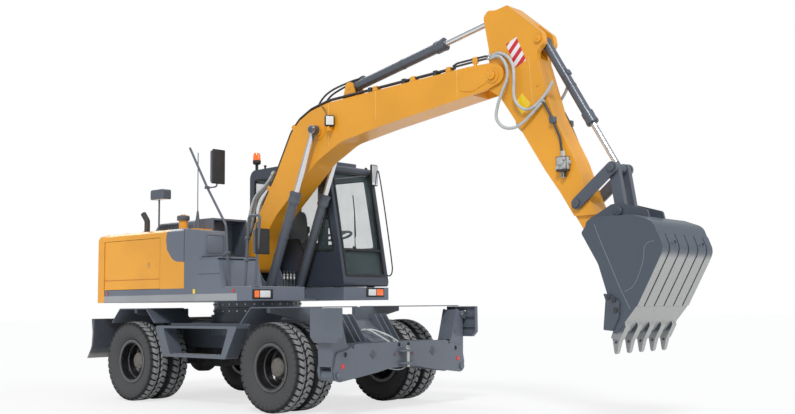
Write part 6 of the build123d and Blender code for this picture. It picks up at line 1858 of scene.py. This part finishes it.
# ---------------------------------------------------------------- studio
@dataclass
class Studio:
    """Camera, floor, lamps and world."""

    camera_at: tuple[float, float, float] = (10432.0, -9228.0, 1234.0)
    yaw: float = 41.279
    pitch: float = 5.49
    roll: float = -0.593
    lens: float = 46.264
    sky: float = 0.58
    floor_half: float = 90.0
    floor_glow: float = 0.70

    def camera(self) -> None:
        """Camera whose axes come from yaw, pitch and roll: right, up and back are the matrix columns."""
        yaw, pitch, roll = (math.radians(a) for a in (self.yaw, self.pitch, self.roll))
        ahead = Vector((-math.sin(yaw) * math.cos(pitch), math.cos(yaw) * math.cos(pitch), math.sin(pitch)))
        level = Vector((math.cos(yaw), math.sin(yaw), 0))
        above = level.cross(ahead)
        right = math.cos(roll) * level + math.sin(roll) * above
        up = -math.sin(roll) * level + math.cos(roll) * above
        made = bpy.data.cameras.new("view")
        made.lens, made.sensor_width, made.clip_end = self.lens, 36.0, 200.0
        eye = bpy.data.objects.new("view", made)
        matrix = Matrix((right, up, -ahead)).transposed().to_4x4()
        matrix.translation = Vector(in_frame(self.camera_at))
        eye.matrix_world = matrix
        bpy.context.scene.collection.objects.link(eye)
        bpy.context.scene.camera = eye

    def world(self) -> None:
        """Even light from all round, and plain white where the camera sees it, straight or through glass."""
        world = bpy.data.worlds.new("studio")
        bpy.context.scene.world = world
        made = Recipe("studio", world)
        direct, through = (Value(made, made.node("ShaderNodeLightPath", output=f"Is {kind} Ray"))
                           for kind in ("Camera", "Transmission"))
        dim = made.node("ShaderNodeBackground", None, {"Color": (0.93, 0.96, 1.0), "Strength": self.sky})
        white = made.node("ShaderNodeBackground", None, {"Color": (1.0, 1.0, 1.0), "Strength": 1.0})
        blend = made.node("ShaderNodeMixShader", None, {0: direct.most(through), 1: dim, 2: white})
        made.close(blend, "ShaderNodeOutputWorld")

    def floor(self) -> None:
        """Pale floor that keeps the shadow but reads nearly white to the camera."""
        made = Recipe("pale_floor")
        seen = made.node("ShaderNodeLightPath", output="Is Camera Ray")
        matte = made.node("ShaderNodeBsdfDiffuse", None, {"Color": (0.80, 0.80, 0.80)})
        white = made.node("ShaderNodeEmission", None, {"Color": (1.0, 1.0, 1.0), "Strength": 1.0})
        share = Value(made, seen) * self.floor_glow
        made.close(made.node("ShaderNodeMixShader", None, {0: share, 1: matte, 2: white}))
        size = self.floor_half
        mesh = bpy.data.meshes.new("floor")
        mesh.from_pydata([(-size, -size, -0.001), (size, -size, -0.001), (size, size, -0.001),
                          (-size, size, -0.001)], [], [(0, 1, 2, 3)])
        mesh.materials.append(made.material)
        plane = bpy.data.objects.new("floor", mesh)
        bpy.context.scene.collection.objects.link(plane)

    def lamps(self) -> None:
        """A soft key from the front right, a fill from the bucket's end and a low rear rim."""
        lamps = (("key", (5.0, -7.5, 8.5), 1.75, 14), ("fill", (9.5, 2.0, 5.0), 0.85, 40),
                 ("rim", (-8.0, 4.0, 7.0), 0.6, 30))
        for name, at, energy, angle in lamps:
            made = bpy.data.lights.new(name, "SUN")
            made.energy, made.angle = energy, math.radians(angle)
            lamp = bpy.data.objects.new(name, made)
            lamp.location = at
            lamp.rotation_euler = Vector(at).to_track_quat("Z", "Y").to_euler()
            bpy.context.scene.collection.objects.link(lamp)

    def build(self) -> None:
        """Set up the whole studio."""
        bpy.context.scene.view_settings.view_transform = "Standard"
        self.camera()
        self.world()
        self.floor()
        self.lamps()


def main() -> None:
    """Load the frame, build every class in order and report the count."""
    logging.basicConfig(level=logging.INFO, format="%(message)s")
    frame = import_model()
    shop = Workshop(frame)
    Studio().build()
    NodeFinishes(shop).apply()
    for axle, x in AXLES.items():
        for side in Side:
            TwinTyres(shop, axle, x, side).build()
            WheelTrim(shop, axle, x, side).build()
    for maker in (Undercarriage, PinCaps, OutriggerTrim, LampUnit, DeckTrim, CabTrim, BoomTrim, CylinderTrim,
                  ArmTrim, BucketTrim):
        maker(shop).build()
    LOG.info("%d pieces made", shop.count)


if __name__ == "__main__":
    main()
